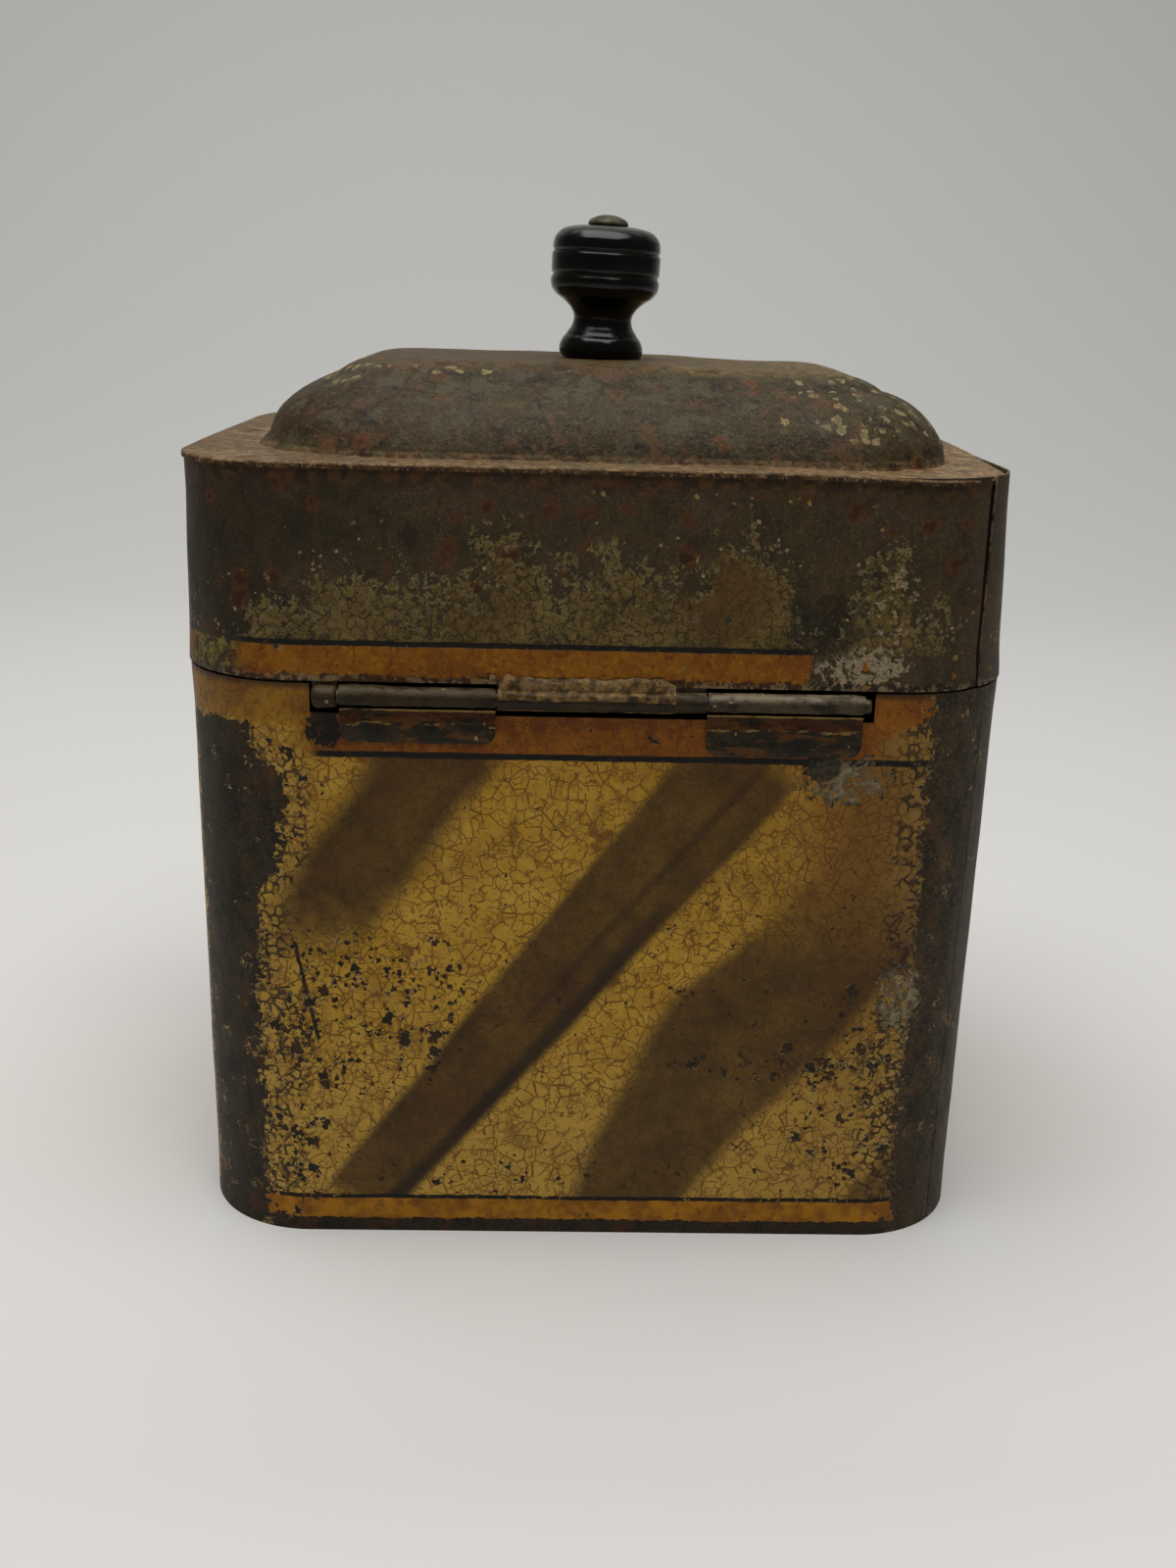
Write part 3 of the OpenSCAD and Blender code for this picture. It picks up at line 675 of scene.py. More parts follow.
def lid_paint():
    g = G("aged_lid_paint")
    s = corner_way(g)
    hinge_side = g.step(30.0, 32.0, g.y)
    z, u = g.z - LZ, g.x
    c_bare, n1, n2, n3 = bare_tin(g)
    c_bare = g.mix(0.35, c_bare, g.mix(g.step(0.4, 0.6, n1), tone(60, 50, 40), tone(52, 46, 32)))
    c_bare = g.mix(g.step(30.0, 66.0, u) * g.step(0.36, 0.54, n1) * 0.5, c_bare, tone(34, 31, 20))
    big = g.noise(12, 4, 0.6, off=(11, 8, 3))
    mid = g.noise(5.0, 4, 0.65, off=(14, 4, 1))
    fine = g.noise(1.3, 3, 0.62, off=(12, 7, 6))
    tiny = g.noise(0.45, 2, 0.6)
    patchy = g.noise(2.6, 3, 0.6, off=(16, 6, 2))
    W = g.warp(1.2, 0.6)
    e1 = g.cells(2.2, W, "DISTANCE_TO_EDGE")
    e2 = g.cells(1.2, g.warp(0.7, 0.4), "DISTANCE_TO_EDGE", off=(3, 6, 9))

    def hump(at, half):
        return g.step(half, 0.0, g.abs(u - at))

    # cream left above the band, in islands that thin out upwards
    tall = hump(20.0, 16.0) * 9.0 + hump(-5.0, 20.0) * 7.0 + hump(-29.0, 13.0) * 14.0 + hump(-58.0, 10.0) * 11.0 + hump(50.0, 18.0) * 3.0
    tall = tall - hump(-46.0, 8.0) * 14.0 - g.step(58.0, 74.0, g.abs(u)) * 5.0
    tall = (tall + 17.0) * hinge_side + (1.0 - hinge_side) * g.ramp(g.step(0.3, 0.7, g.noise(26, 2, off=(3, 12, 2))), 8.0, 30.0)
    broad = g.noise(7.0, 4, 0.66, off=(31, 8, 3), stretch=(1, 1, 0.8))
    up = (tall - z) * 0.085 + (broad - 0.5) * 3.2 + (mid - 0.5) * 1.4 + (fine - 0.5) * 2.4 + (patchy - 0.5) * 2.0
    up = up - g.step(12.0, 5.0, s + (mid - 0.5) * 9.0) * 1.1
    hole, _ = chips(g, 2.2, g.step(0.40, 0.65, mid) * 0.22 + 0.05, 0.8, g.warp(1.0, 0.9, off=(2, 1, 1)), off=(1, 7, 3))
    up = g.min(up, -hole)
    cream_on = g.step(-0.04, 0.04, up) * g.step(7.3, 7.6, z)
    cc = g.mix(g.step(0.35, 0.65, big), tone(72, 61, 39), tone(60, 50, 29))
    cc = g.mix(g.step(0.46, 0.66, fine) * 0.5, cc, tone(86, 74, 48))
    lines = g.step(0.20, 0.05, e1) * g.step(0.40, 0.5, patchy)
    lines = g.max(lines, g.step(0.14, 0.03, e2) * g.step(0.5, 0.42, mid))
    cc = g.mix(lines * 0.8, cc, tone(31, 26, 15))
    brown = g.max(g.blob(-26.0, 148.0, 13.0, 13.0), g.blob(23.0, 147.0, 8.0, 12.0) * 0.6) * hinge_side
    cc = g.mix(brown * 0.65, cc, tone(58, 43, 17))
    # painted highlight: pale rim along the edges of the cream islands, where the raised paint edge catches the light
    rim = g.step(0.16, 0.02, g.abs(up - 0.05)) * g.step(0.46, 0.56, g.noise(2.0, 2, 0.6, off=(19, 6, 2))) * g.step(7.4, 8.0, z)

    # yellow band
    wz = z + (mid - 0.5) * 0.6
    yc = g.mix(g.step(0.3, 0.7, mid), tone(93, 61, 3), tone(80, 49, 3))
    yc = g.mix(g.step(0.48, 0.68, fine) * 0.45, yc, tone(110, 78, 16))
    yc = g.mix(g.step(0.50, 0.66, big) * 0.4, yc, tone(66, 41, 6))
    yc = g.mix(g.step(0.17, 0.04, e1) * g.step(0.5, 0.6, patchy) * 0.6, yc, tone(46, 28, 6))
    yellow = g.step(7.5, 7.2, wz)
    rag = (mid - 0.5) * 9.0 + (fine - 0.5) * 6.0
    right_end = g.step(-42.5, -44.5, u + rag * 0.35) * hinge_side
    corners = g.step(12.5, 9.5, s + rag * 0.8) * (1.0 - g.step(0.0, 20.0, u) * hinge_side * 0.0)
    left_thin = g.step(9.5, 6.0, s + rag * 0.9) * g.step(0.0, 20.0, u)
    lost = g.max(right_end, g.max(corners * g.step(0.0, -20.0, u), left_thin))
    lost = g.max(lost, corners * (1.0 - hinge_side))
    spot_in, _ = chips(g, 2.4, lost * 0.22, 0.75, g.warp(1.1, 0.8, off=(2, 5, 1)), off=(4, 7, 3))
    nick, _ = chips(g, 4.4, 0.24, 1.1, g.warp(1.2, 0.9, off=(7, 5, 1)), off=(4, 1, 3))
    nicked = g.step(-0.05, 0.08, nick)
    yellow_on = yellow * g.max(1.0 - lost, g.step(-0.05, 0.05, spot_in)) * (1.0 - nicked)
    ink_on = g.step(0.75, 0.45, g.abs(wz - 7.9)) * (1.0 - lost) * g.step(0.36, 0.44, fine + 0.05)
    c = g.mix(cream_on, c_bare, cc)
    cream_low = left_thin * g.step(0.44, 0.52, patchy) * yellow
    c = g.mix(cream_low * 0.9, c, g.mix(g.step(0.45, 0.6, fine), tone(88, 76, 42), tone(56, 50, 34)))
    rust_ok = (1.0 - cream_on) * (1.0 - yellow)
    c, spot = rust_spots(g, c, rust_ok, 7.0, least=-1.0, most=2.4)
    # dark drips and patches
    drip = g.step(0.56, 0.66, g.noise(4.5, 4, 0.66, stretch=(1, 1, 0.55), off=(5, 19, 9)))
    dark_patch = g.step(0.35, 0.85, g.blob(-46.5, 143.0, 12.0, 10.0) * 0.95 + (fine - 0.5) * 2.2 + (patchy - 0.5) * 2.6) * hinge_side
    c = g.mix(g.max(drip * 0.5 * (1.0 - cream_on * 0.6), dark_patch * 0.7) * (1.0 - yellow), c, tone(30, 28, 18))
    # darker rust-brown colour along the band's top, under the ledge
    top = g.step(37.5, 42.5, z + (mid - 0.5) * 7.0)
    c = g.mix(top * 0.7, c, g.mix(g.step(0.45, 0.58, patchy), tone(40, 33, 21), tone(60, 44, 25)))
    # row of paint flecks below it
    rw, _ = chips(g, 1.9, 0.42, 0.55, g.warp(0.9, 0.7, off=(2, 5, 8)), off=(4, 9, 3))
    row = g.step(1.5, 0.7, g.abs(z - 38.8 + (mid - 0.5) * 1.6)) * g.step(-0.05, 0.06, rw) * g.step(6.0, -2.0, u) * g.step(-58.0, -52.0, u) * hinge_side
    c = g.mix(row * 0.9, c, g.mix(g.step(0.5, 0.56, patchy), tone(98, 86, 60), tone(102, 68, 10)))
    # specks of paint and tin above the cream
    sp, _ = chips(g, 1.5, g.step(24.0, 3.0, z - tall + 4.0) * 0.48, 0.42, g.warp(0.7, 0.55, off=(8, 1, 2)), off=(6, 13, 9))
    speck = g.step(-0.04, 0.06, sp) * g.step(0.38, 0.50, g.noise(6.0, 3, 0.6, off=(2, 2, 2))) * (1.0 - yellow)
    speck = speck * (1.0 - cream_on)
    c = g.mix(speck * 0.85, c, g.mix(g.step(0.46, 0.54, fine), tone(104, 95, 70), tone(84, 64, 30)))
    # bright tin where the paint came off last
    silver = g.max(g.blob(-54.0, 134.4, 14.5, 7.5), g.blob(-60.0, 146.0, 8.0, 16.0) * 0.5) * hinge_side
    sv = g.step(0.0, 0.15, silver * 1.2 + (fine - 0.5) * 3.8 + (patchy - 0.5) * 3.0 - 0.85)
    c = g.mix(sv * 0.9 * (1.0 - dark_patch), c, g.mix(g.step(0.42, 0.6, tiny), tone(88, 78, 62), tone(108, 98, 80)))
    c = g.mix(yellow_on, c, yc)
    # pale rim: painted highlight
    c = g.mix(rim * 0.45 * (1.0 - yellow_on), c, tone(104, 94, 68))
    c = g.mix(ink_on, c, tone(19, 17, 9))
    c = g.mix(nicked * yellow * 0.8, c, g.mix(g.step(0.45, 0.55, fine), tone(44, 36, 24), tone(96, 80, 50)))
    # chips at the band's lower edge
    low = g.step(1.7, 0.9, z + (fine - 0.5) * 3.4 + (mid - 0.5) * 2.5)
    c = g.mix(low * 0.85, c, g.mix(g.step(0.46, 0.56, fine), tone(36, 30, 21), tone(80, 70, 54)))
    c = g.mix(g.step(0.55, 0.72, g.noise(2.4, 4, 0.7, off=(9, 9, 9))) * 0.32, c, tone(42, 34, 20))
    on = g.max(cream_on, yellow_on * (1.0 - low))
    rough = g.mix(on, g.ramp(n2, 0.46, 0.7), g.ramp(fine, 0.4, 0.64))
    height = on * 0.12 - lines * on * 0.05 + (fine - 0.5) * 0.06 * on + (tiny - 0.5) * 0.02 + (n3 - 0.5) * 0.05 + (n2 - 0.5) * 0.05
    height = height + spot * 0.06 + rim * 0.05
    return g.finish(c, rough, height, (1.0 - on) * 0.12, 0.001, 1.0)


def lid_tin():
    g = G("aged_lid_tin")
    z = g.z - LEDGE_Z
    n1 = g.noise(20, 4, 0.62, off=(21, 1, 7))
    n2 = g.noise(5.0, 5, 0.68, off=(22, 2, 4))
    n3 = g.noise(1.1, 4, 0.66, off=(23, 5, 5))
    n4 = g.noise(2.2, 4, 0.7, off=(1, 5, 25))
    tiny = g.noise(0.45, 2, 0.6)
    lengthwise = g.noise(9, 4, 0.62, stretch=(0.3, 1, 1), off=(24, 3, 3))
    c = g.mix(g.step(0.35, 0.65, n1), tone(72, 62, 42, SLOPE), tone(57, 50, 33, SLOPE))
    c = g.mix(g.step(0.42, 0.66, lengthwise) * 0.6, c, tone(82, 71, 48, SLOPE))
    c = g.mix(g.step(0.50, 0.34, n2) * 0.6, c, tone(56, 49, 35, SLOPE))
    left = g.step(15.0, 50.0, g.x)
    c = g.mix(left * g.step(0.42, 0.58, n2) * 0.6, c, tone(72, 50, 34, SLOPE))
    c = g.mix(g.step(0.53, 0.66, n3) * 0.55, c, tone(50, 43, 31, SLOPE))
    c = g.mix(g.step(0.46, 0.36, n3) * 0.4, c, tone(92, 81, 56, SLOPE))
    # what faces up has a tan film, speckled with rust and dirt
    flat_top = g.step(16.4, 17.9, z)
    ledge = g.step(1.6, 0.5, z)
    tan = g.mix(g.step(0.42, 0.58, n4), tone(146, 122, 88, UP), tone(102, 80, 56, UP))
    tan = g.mix(g.step(0.5, 0.64, n3) * 0.6, tan, tone(72, 52, 34, UP))
    tan = g.mix(g.step(0.55, 0.66, n2) * 0.5, tan, tone(108, 74, 46, UP))
    c = g.mix(ledge * 0.9, c, tan)
    plate = g.mix(g.step(0.40, 0.60, n4), tone(108, 91, 58, UP), tone(70, 56, 33, UP))
    plate = g.mix(g.step(0.5, 0.62, n3) * 0.6, plate, tone(56, 46, 31, UP))
    plate = g.mix(g.step(-24.0, 0.0, g.x) * 0.62, plate, tone(58, 45, 26, UP))
    c = g.mix(flat_top * 0.9, c, plate)
    # pale remnants of paint along the upper edges and on the right shoulder, partly a painted highlight in the same
    # pale colour
    W = g.warp(1.3, 1.0)
    edge = g.step(4.2, 0.8, g.abs(z - 16.0)) * g.step(6.0, 12.0, z)
    sh = g.step(-30.0, -52.0, g.x) * g.step(2.0, 8.0, z)
    left_edge = g.step(38.0, 52.0, g.x) * g.step(8.0, 14.0, z)
    left_line = g.step(12.0, 30.0, g.x) * g.step(1.1, 0.4, g.abs(z - 16.9)) * g.step(20.0, 60.0, g.y + 20.0)
    odds = edge * 0.05 + sh * 0.60 + left_edge * 0.34 * edge + left_line * 0.5
    pch, _ = chips(g, 2.5, odds * g.step(0.34, 0.52, n2), 1.25, W, off=(2, 2, 2))
    pale = g.step(-0.06, 0.06, pch)
    # painted highlight mixed into the pale remnants
    c = g.mix(pale * 0.85, c, g.mix(g.step(0.45, 0.6, n3), tone(142, 126, 92, 0.85), tone(116, 96, 64, 0.85)))
    # rust, thickest round the dome's foot
    d, r = g.cells(7.5, g.warp(3.2, 1.9), off=(0.1, 0.7, 0.2))
    inside = g.ramp(r, -2.0, 2.8) - d + (n3 - 0.5) * 2.2
    foot = g.step(9.0, 1.0, z)
    ok = g.max(foot * 0.9, g.step(0.34, 0.5, n1) * 0.85)
    red = g.step(-0.6, 0.6, inside) * ok
    heart = g.step(0.5, 1.4, inside) * ok
    fine_rust = g.step(0.54, 0.64, g.noise(1.9, 4, 0.72, off=(1, 15, 25))) * foot
    c = g.mix(fine_rust * 0.6, c, tone(118, 80, 50, 0.95))
    # dark line round the dome's foot, and the rim
    c = g.mix(g.step(0.75, 0.1, g.abs(z - 0.45)) * 0.5, c, tone(40, 30, 20, SLOPE))
    # dark scuffs
    scuff = g.step(0.565, 0.60, g.noise(3.0, 4, 0.72, stretch=(0.4, 1, 1.2), off=(2, 2, 31)))
    c = g.mix(scuff * 0.65, c, tone(42, 34, 26, SLOPE))
    c = g.mix(red * 0.8, c, tone(108, 66, 40, 0.95))
    c = g.mix(heart * 0.7, c, tone(46, 28, 18, SLOPE))
    # rusty and dark blotches
    blot = g.noise(8.0, 4, 0.68, off=(12, 8, 25))
    c = g.mix(g.step(0.54, 0.62, blot) * 0.55, c, tone(96, 70, 50, 0.95))
    c = g.mix(g.step(0.46, 0.40, blot) * 0.5, c, tone(84, 78, 60, 0.9))
    pit = g.noise(0.6, 2, 0.5, off=(2, 8, 5))
    c = g.mix(g.step(0.56, 0.68, pit) * 0.4, c, tone(112, 100, 76, SLOPE))
    c = g.mix(g.step(0.42, 0.32, pit) * 0.5, c, tone(40, 34, 24, SLOPE))
    rough = g.ramp(n2, 0.5, 0.72)
    height = (n3 - 0.5) * 0.14 + (n2 - 0.5) * 0.26 + (tiny - 0.5) * 0.03 + pale * 0.06 + g.step(-0.8, 0.8, inside) * ok * 0.05
    return g.finish(c, rough, height, 0.08, 0.001, 1.0)


def rim_tin():
    g = G("aged_lid_rim")
    n2 = g.noise(2.6, 4, 0.66, off=(92, 2, 4))
    n3 = g.noise(0.8, 3, 0.6, off=(93, 5, 5))
    c = g.mix(g.step(0.42, 0.6, n2), tone(40, 33, 22), tone(60, 46, 30))
    c = g.mix(g.step(0.54, 0.64, n3) * 0.7, c, tone(98, 80, 56))
    c = g.mix(g.step(-0.9, -1.3, g.z - LEDGE_Z + 0.3) * 0.5, c, tone(22, 17, 11))
    return g.finish(c, g.ramp(n2, 0.5, 0.7), (n2 - 0.5) * 0.12 + (n3 - 0.5) * 0.06, 0.08)


def inside_tin(name, k=1.0, off=0):
    g = G(name)
    n1 = g.noise(20, 4, 0.6, off=(31 + off, 1, 7))
    n2 = g.noise(4.0, 5, 0.65, stretch=(1, 1, 0.4), off=(32 + off, 2, 4))
    n3 = g.noise(0.8, 3, 0.6, off=(33 + off, 5, 5))
    c = g.mix(g.step(0.35, 0.65, n1), rgb(126, 118, 102, k), rgb(96, 89, 74, k))
    c = g.mix(g.step(0.45, 0.68, n2) * 0.6, c, rgb(72, 64, 52, k))
    d, r = g.cells(8.0, g.warp(2.6, 1.3), off=(off * 0.3, 0.7, 0.2))
    rust = g.step(-0.8, 0.8, g.ramp(r, -2.2, 2.0) - d + (n3 - 0.5) * 1.5)
    c = g.mix(rust * 0.65, c, rgb(88, 54, 32, k))
    c = g.mix(g.step(0.55, 0.7, n3) * 0.4, c, rgb(146, 138, 120, k))
    height = (n3 - 0.5) * 0.04 + (n2 - 0.5) * 0.06 + rust * 0.03
    return g.finish(c, g.ramp(n2, 0.36, 0.6), height, 0.55, 0.001, 1.0)


# Painted shade: near-black colour for the lap strips seen through the open seams, standing in for the shadow in the
# slits.
def seam_shade():
    g = G("painted_shade_in_seam")
    n2 = g.noise(2.0, 4, 0.65, off=(3, 2, 44))
    n3 = g.noise(0.5, 3, 0.6, off=(3, 5, 45))
    c = g.mix(g.step(0.4, 0.7, n2), rgb(10, 9, 7, 1), rgb(22, 17, 11, 1))
    return g.finish(c, g.ramp(n3, 0.85, 0.95), (n3 - 0.5) * 0.05, 0.0)


def hinge_tin():
    g = G("worn_hinge_tin")
    n1 = g.noise(6, 4, 0.62, off=(41, 1, 7))
    n2 = g.noise(2.2, 4, 0.66, stretch=(0.5, 1, 1), off=(42, 2, 4))
    n3 = g.noise(0.7, 3, 0.6, off=(43, 5, 5))
    n4 = g.noise(3.0, 4, 0.66, stretch=(0.35, 1, 1), off=(44, 6, 4))
    c = g.mix(g.step(0.4, 0.62, n1), tone(32, 30, 17), tone(45, 39, 25))
    c = g.mix(g.step(0.48, 0.62, n2) * 0.6, c, tone(22, 20, 11))
    top = g.step(126.6, 128.4, g.z)
    tube = g.step(123.6, 124.8, g.z)
    c = g.mix(tube * 0.7, c, g.mix(g.step(0.4, 0.6, n1), g.mix(g.step(-18.0, -24.0, g.x), tone(54, 45, 31, 0.62), tone(66, 57, 46, 0.55)), tone(34, 28, 17, 0.62)))
    # painted highlight: the top of the roll paler, palest on the right leaf
    c = g.mix(top * g.step(0.4, 0.56, n4) * 0.8, c, g.mix(g.step(-18.0, -24.0, g.x), tone(78, 66, 48, 0.8), tone(112, 99, 82, 0.66)))
    # paint remnants in the hollow below the roll and along its lip, with a painted highlight on the lip and on a ridge
    # of the plate below
    hollow = g.step(1.9, 0.8, g.abs(g.z - 122.2 + (n1 - 0.5) * 1.6))
    c = g.mix(hollow * g.step(0.40, 0.50, n4) * 0.8, c, tone(60, 38, 12))
    low = g.step(0.50, 0.58, g.noise(3.4, 4, 0.7, stretch=(0.45, 1, 1.3), off=(47, 3, 9))) * g.step(123.4, 122.6, g.z)
    c = g.mix(low * 0.75, c, tone(66, 46, 18))
    # painted highlight along the roll's lip, over paint remnants
    lip = g.step(0.62, 0.25, g.abs(g.z - 123.95 + (n2 - 0.5) * 0.5)) * g.step(0.38, 0.5, n4)
    c = g.mix(lip * 0.85, c, tone(112, 92, 54))
    # painted highlight on a ridge of the leaf plate
    ridge = g.step(0.34, 0.12, g.abs(g.z - 120.6 + (n4 - 0.5) * 3.0)) * g.step(0.48, 0.58, n2)
    c = g.mix(ridge * 0.8, c, tone(100, 82, 50))
    d, r = g.cells(1.7, g.warp(0.8, 0.6), off=(5, 5, 5))
    fleck = g.step(-0.05, 0.08, g.min((0.16 - r) * 3.0, 0.4) - d)
    c = g.mix(fleck * 0.8, c, tone(104, 94, 68))
    c = g.mix(g.step(0.56, 0.66, g.noise(1.6, 3, 0.7, off=(8, 4, 48))) * 0.6, c, tone(20, 17, 10))
    height = (n2 - 0.5) * 0.22 + (n3 - 0.5) * 0.07 + (n4 - 0.5) * 0.15
    return g.finish(c, g.ramp(n2, 0.38, 0.62), height, 0.15)


def solder_metal():
    g = G("lumpy_solder")
    n1 = g.noise(5, 4, 0.6, off=(51, 1, 7))
    n2 = g.noise(1.8, 4, 0.68, off=(52, 2, 4))
    n3 = g.noise(0.6, 3, 0.6, off=(53, 5, 5))
    c = g.mix(g.step(0.42, 0.58, n1), tone(86, 70, 48, 0.55), tone(58, 48, 32, 0.55))
    c = g.mix(g.step(0.48, 0.62, n2) * 0.6, c, tone(120, 94, 58, 0.6))
    c = g.mix(g.step(0.44, 0.34, n2) * 0.65, c, tone(28, 24, 15))
    c = g.mix(g.step(0.58, 0.66, n3) * 0.5, c, tone(30, 24, 15))
    height = (n2 - 0.5) * 0.3 + (n3 - 0.5) * 0.08
    return g.finish(c, g.ramp(n2, 0.38, 0.66), height, 0.12)


def knob_black():
    g = G("ebonised_wood")
    n1 = g.noise(9, 4, 0.6, off=(61, 1, 7))
    n2 = g.noise(0.7, 4, 0.65, stretch=(1, 1, 0.08), off=(62, 2, 4))
    n3 = g.noise(0.5, 3, 0.6, off=(63, 5, 5))
    c = g.mix(g.step(0.4, 0.6, n1), rgb(3, 4, 2, 1.0), rgb(8, 8, 5, 1.0))
    c = g.mix(g.step(0.62, 0.74, n2) * 0.4, c, rgb(26, 22, 16, 1.0))
    edge = g.step(0.9, 0.2, g.abs(g.z - PLATEAU_Z - 15.6)) + g.step(0.8, 0.2, g.abs(g.z - PLATEAU_Z - 24.6))
    c = g.mix(g.min(edge, 1.0) * g.step(0.54, 0.64, n3) * 0.35, c, rgb(50, 42, 31, 1.0))
    dust = g.step(2.2, 1.1, g.z - PLATEAU_Z) * g.step(0.35, 0.6, n1)
    c = g.mix(dust * 0.4, c, rgb(44, 37, 27, 1.0))
    height = (n2 - 0.5) * 0.03 + (n3 - 0.5) * 0.02
    return g.finish(c, g.ramp(g.step(0.3, 0.7, n1), 0.11, 0.22) + dust * 0.3, height, 0.0, spec=0.3)


def bolt_steel():
    g = G("dull_bolt_steel")
    n1 = g.noise(3, 4, 0.6, off=(71, 1, 7))
    n2 = g.noise(0.7, 4, 0.65, off=(72, 2, 4))
    c = g.mix(g.step(0.4, 0.6, n1), tone(90, 86, 66, 1.0), tone(68, 62, 46, 1.0))
    c = g.mix(g.step(0.54, 0.66, n2) * 0.7, c, tone(46, 36, 25, 0.75))
    return g.finish(c, g.ramp(n2, 0.36, 0.56), (n2 - 0.5) * 0.08, 0.35)


M_BODY, M_LID, M_TOP, M_RIM = body_paint(), lid_paint(), lid_tin(), rim_tin()
M_IN, M_IN2 = inside_tin("dull_inside_tin"), inside_tin("dull_collar_tin", 0.9, 2)
M_SEAM_SHADE, M_HINGE, M_SOLDER, M_KNOB, M_BOLT = seam_shade(), hinge_tin(), solder_metal(), knob_black(), bolt_steel()


# ---------------------------------------------------------------- the body
def bend_body(p, side):
    """Shallow dents and waves of hand-worked sheet, never past the true outline."""
    n = p.copy()
    d = p[..., :2] - np.stack([np.clip(p[..., 0], -CX, CX), np.clip(p[..., 1], -CY, CY)], -1)
    d = d / np.linalg.norm(d, axis=-1, keepdims=True)
    amp = 0.11 * (wave(p, 55, 0) - 1) + 0.05 * (wave(p, 17, 1) - 1)
    amp = amp * smooth(0, 12, p[..., 2]) * smooth(129.2, 119, p[..., 2])
    n[..., :2] += d * np.clip(amp, -0.4, 0)[..., None]
    return n


z_body = sorted(set([0, 0.25, 0.8, 113.5, NOTCH_Z, H] + list(np.linspace(1.5, 128.2, 72))))
o, i, keep = back_sheet(rb, H, 48, -0.9, 0.9, [CX + NOTCH_R, CX + NOTCH_L], z_body, bend_body,
                        lambda m: ~((m[..., 2] > NOTCH_Z) & (m[..., 0] > NOTCH_R) & (m[..., 0] < NOTCH_L) & (m[..., 1] > 60)))
v, f, k = shell(o, i, keep)
body_back = add_mesh("body_sheet_hinge_side", v, f, [M_BODY, M_IN, M_HINGE], k)
o, i = front_sheet(rb, H, 48, 0.25 - 0.9, 0.25 + 0.9, z_body, bend_body)
z_lap = np.linspace(5.5, 118.5, 30)
parts = [shell(o, i)]
for c in ((-CX, CY, 90 + 48 - 13, 90 + 48 + 8), (CX, -CY, -45 - 6, -45 + 13)):
    a, b = lap(rb, *c, z_lap, bend_body)
    if c[2] < 0:
        parts.append(relabel(shell(a[:, ::-1], b[:, ::-1]), [3, 1, 1]))
    else:
        parts.append(relabel(shell(a[:, ::-1], b[:, ::-1]), [3, 1, 1]))
v, f, k = join(parts)
body_front = add_mesh("body_sheet_front_side", v, f, [M_BODY, M_IN, M_HINGE, M_SEAM_SHADE], k)


# ---------------------------------------------------------------- the lid's band
def bend_lid(p, side):
    n = p.copy()
    x, y, z = p[..., 0], p[..., 1], p[..., 2] - LZ
    up = np.clip(z / LH, 0, 1)
    d = p[..., :2] - np.stack([np.clip(x, -CX, CX), np.clip(y, -CY, CY)], -1)
    d = d / np.maximum(np.linalg.norm(d, axis=-1, keepdims=True), 1e-9)
    amp = 0.10 * (wave(p, 45, 2) - 1) + 0.05 * (wave(p, 15, 3) - 1)
    amp = amp * smooth(0, 8, z) * smooth(LH, LH - 8, z)
    n[..., :2] += d * np.clip(amp, -0.35, 0)[..., None]
    # the upper hinge-side left corner was pulled out a little
    n[..., 0] += 1.75 * up * smooth(25, 82, x) * smooth(-62, 30, y)
    return n


def sprung(p, side):
    """The front sheet's edge at the open seam stands off a little, most at the top."""
    n = bend_lid(p, side)
    near = smooth(-15, 40, p[..., 1]) * (p[..., 0] < -CX)
    n[..., 0] -= 0.45 * near * smooth(4, 44, p[..., 2] - LZ)
    return n


def curled(p, side):
    """The back sheet's lower corner beside the open seam is bent in and up at its tip."""
    n = bend_lid(p, side)
    a = np.degrees(np.arctan2(p[..., 1] - CY, p[..., 0] + CX))
    near = smooth(120, 133, a) * (p[..., 1] > CY) * (p[..., 0] < -CX) * smooth(7, 0, p[..., 2] - LZ)
    n[..., 0] -= 0.25 * near
    n[..., 2] += 0.5 * near * smooth(2.2, 0, p[..., 2] - LZ)
    return n


z_lid = sorted(set([0, 0.25, 0.9, BAND_TOP] + list(np.linspace(1.8, 43.2, 30))))
z_lid = [z + LZ for z in z_lid]


def rlz(z):
    return rl(np.asarray(z) - LZ)


def band_back_fun(z_rows):
    o, i, _ = back_sheet(lambda z: rl(z), BAND_TOP, 42.5, -1.6, 1.6, [], [z - LZ for z in z_rows],
                         lambda p, s: curled(p + np.array([0, 0, LZ]), s))
    return o, i


o, i = band_back_fun(z_lid)
v, f, k = shell(o, i)
lid_back = add_mesh("lid_band_hinge_side", v, f, [M_LID, M_IN, M_HINGE], k)
o, i = front_sheet(lambda z: rl(z), BAND_TOP, 42.5, 1.75 - 1.6, 1.5 + 1.6, [z - LZ for z in z_lid],
                   lambda p, s: sprung(p + np.array([0, 0, LZ]), s))
parts = [shell(o, i)]
for c in ((-CX, CY, 90 + 42.5 - 13, 90 + 42.5 + 8), (CX, -CY, -45 - 6, -45 + 13)):
    a, b = lap(lambda z: rl(z), *c, np.linspace(0.2, BAND_TOP - 0.2, 16), lambda p, s: bend_lid(p + np.array([0, 0, LZ]), s))
    parts.append(relabel(shell(a[:, ::-1], b[:, ::-1]), [3, 1, 1]))
v, f, k = join(parts)
lid_front = add_mesh("lid_band_front_side", v, f, [M_LID, M_IN, M_HINGE, M_SEAM_SHADE], k)


# ---------------------------------------------------------------- ledge and dome
def arc_points(p, q, turn, n):
    dx, dz = q[0] - p[0], q[1] - p[1]
    r = math.hypot(dx, dz) / (2 * math.sin(math.radians(turn) / 2))
    s0 = math.degrees(math.atan2(dz, dx)) + turn / 2
    out = []
    for k in range(n + 1):
        s = math.radians(s0 - turn * k / n)
        out.append((p[0] + r * (math.sin(math.radians(s0)) - math.sin(s)), p[1] + r * (math.cos(s) - math.cos(math.radians(s0)))))
    return out


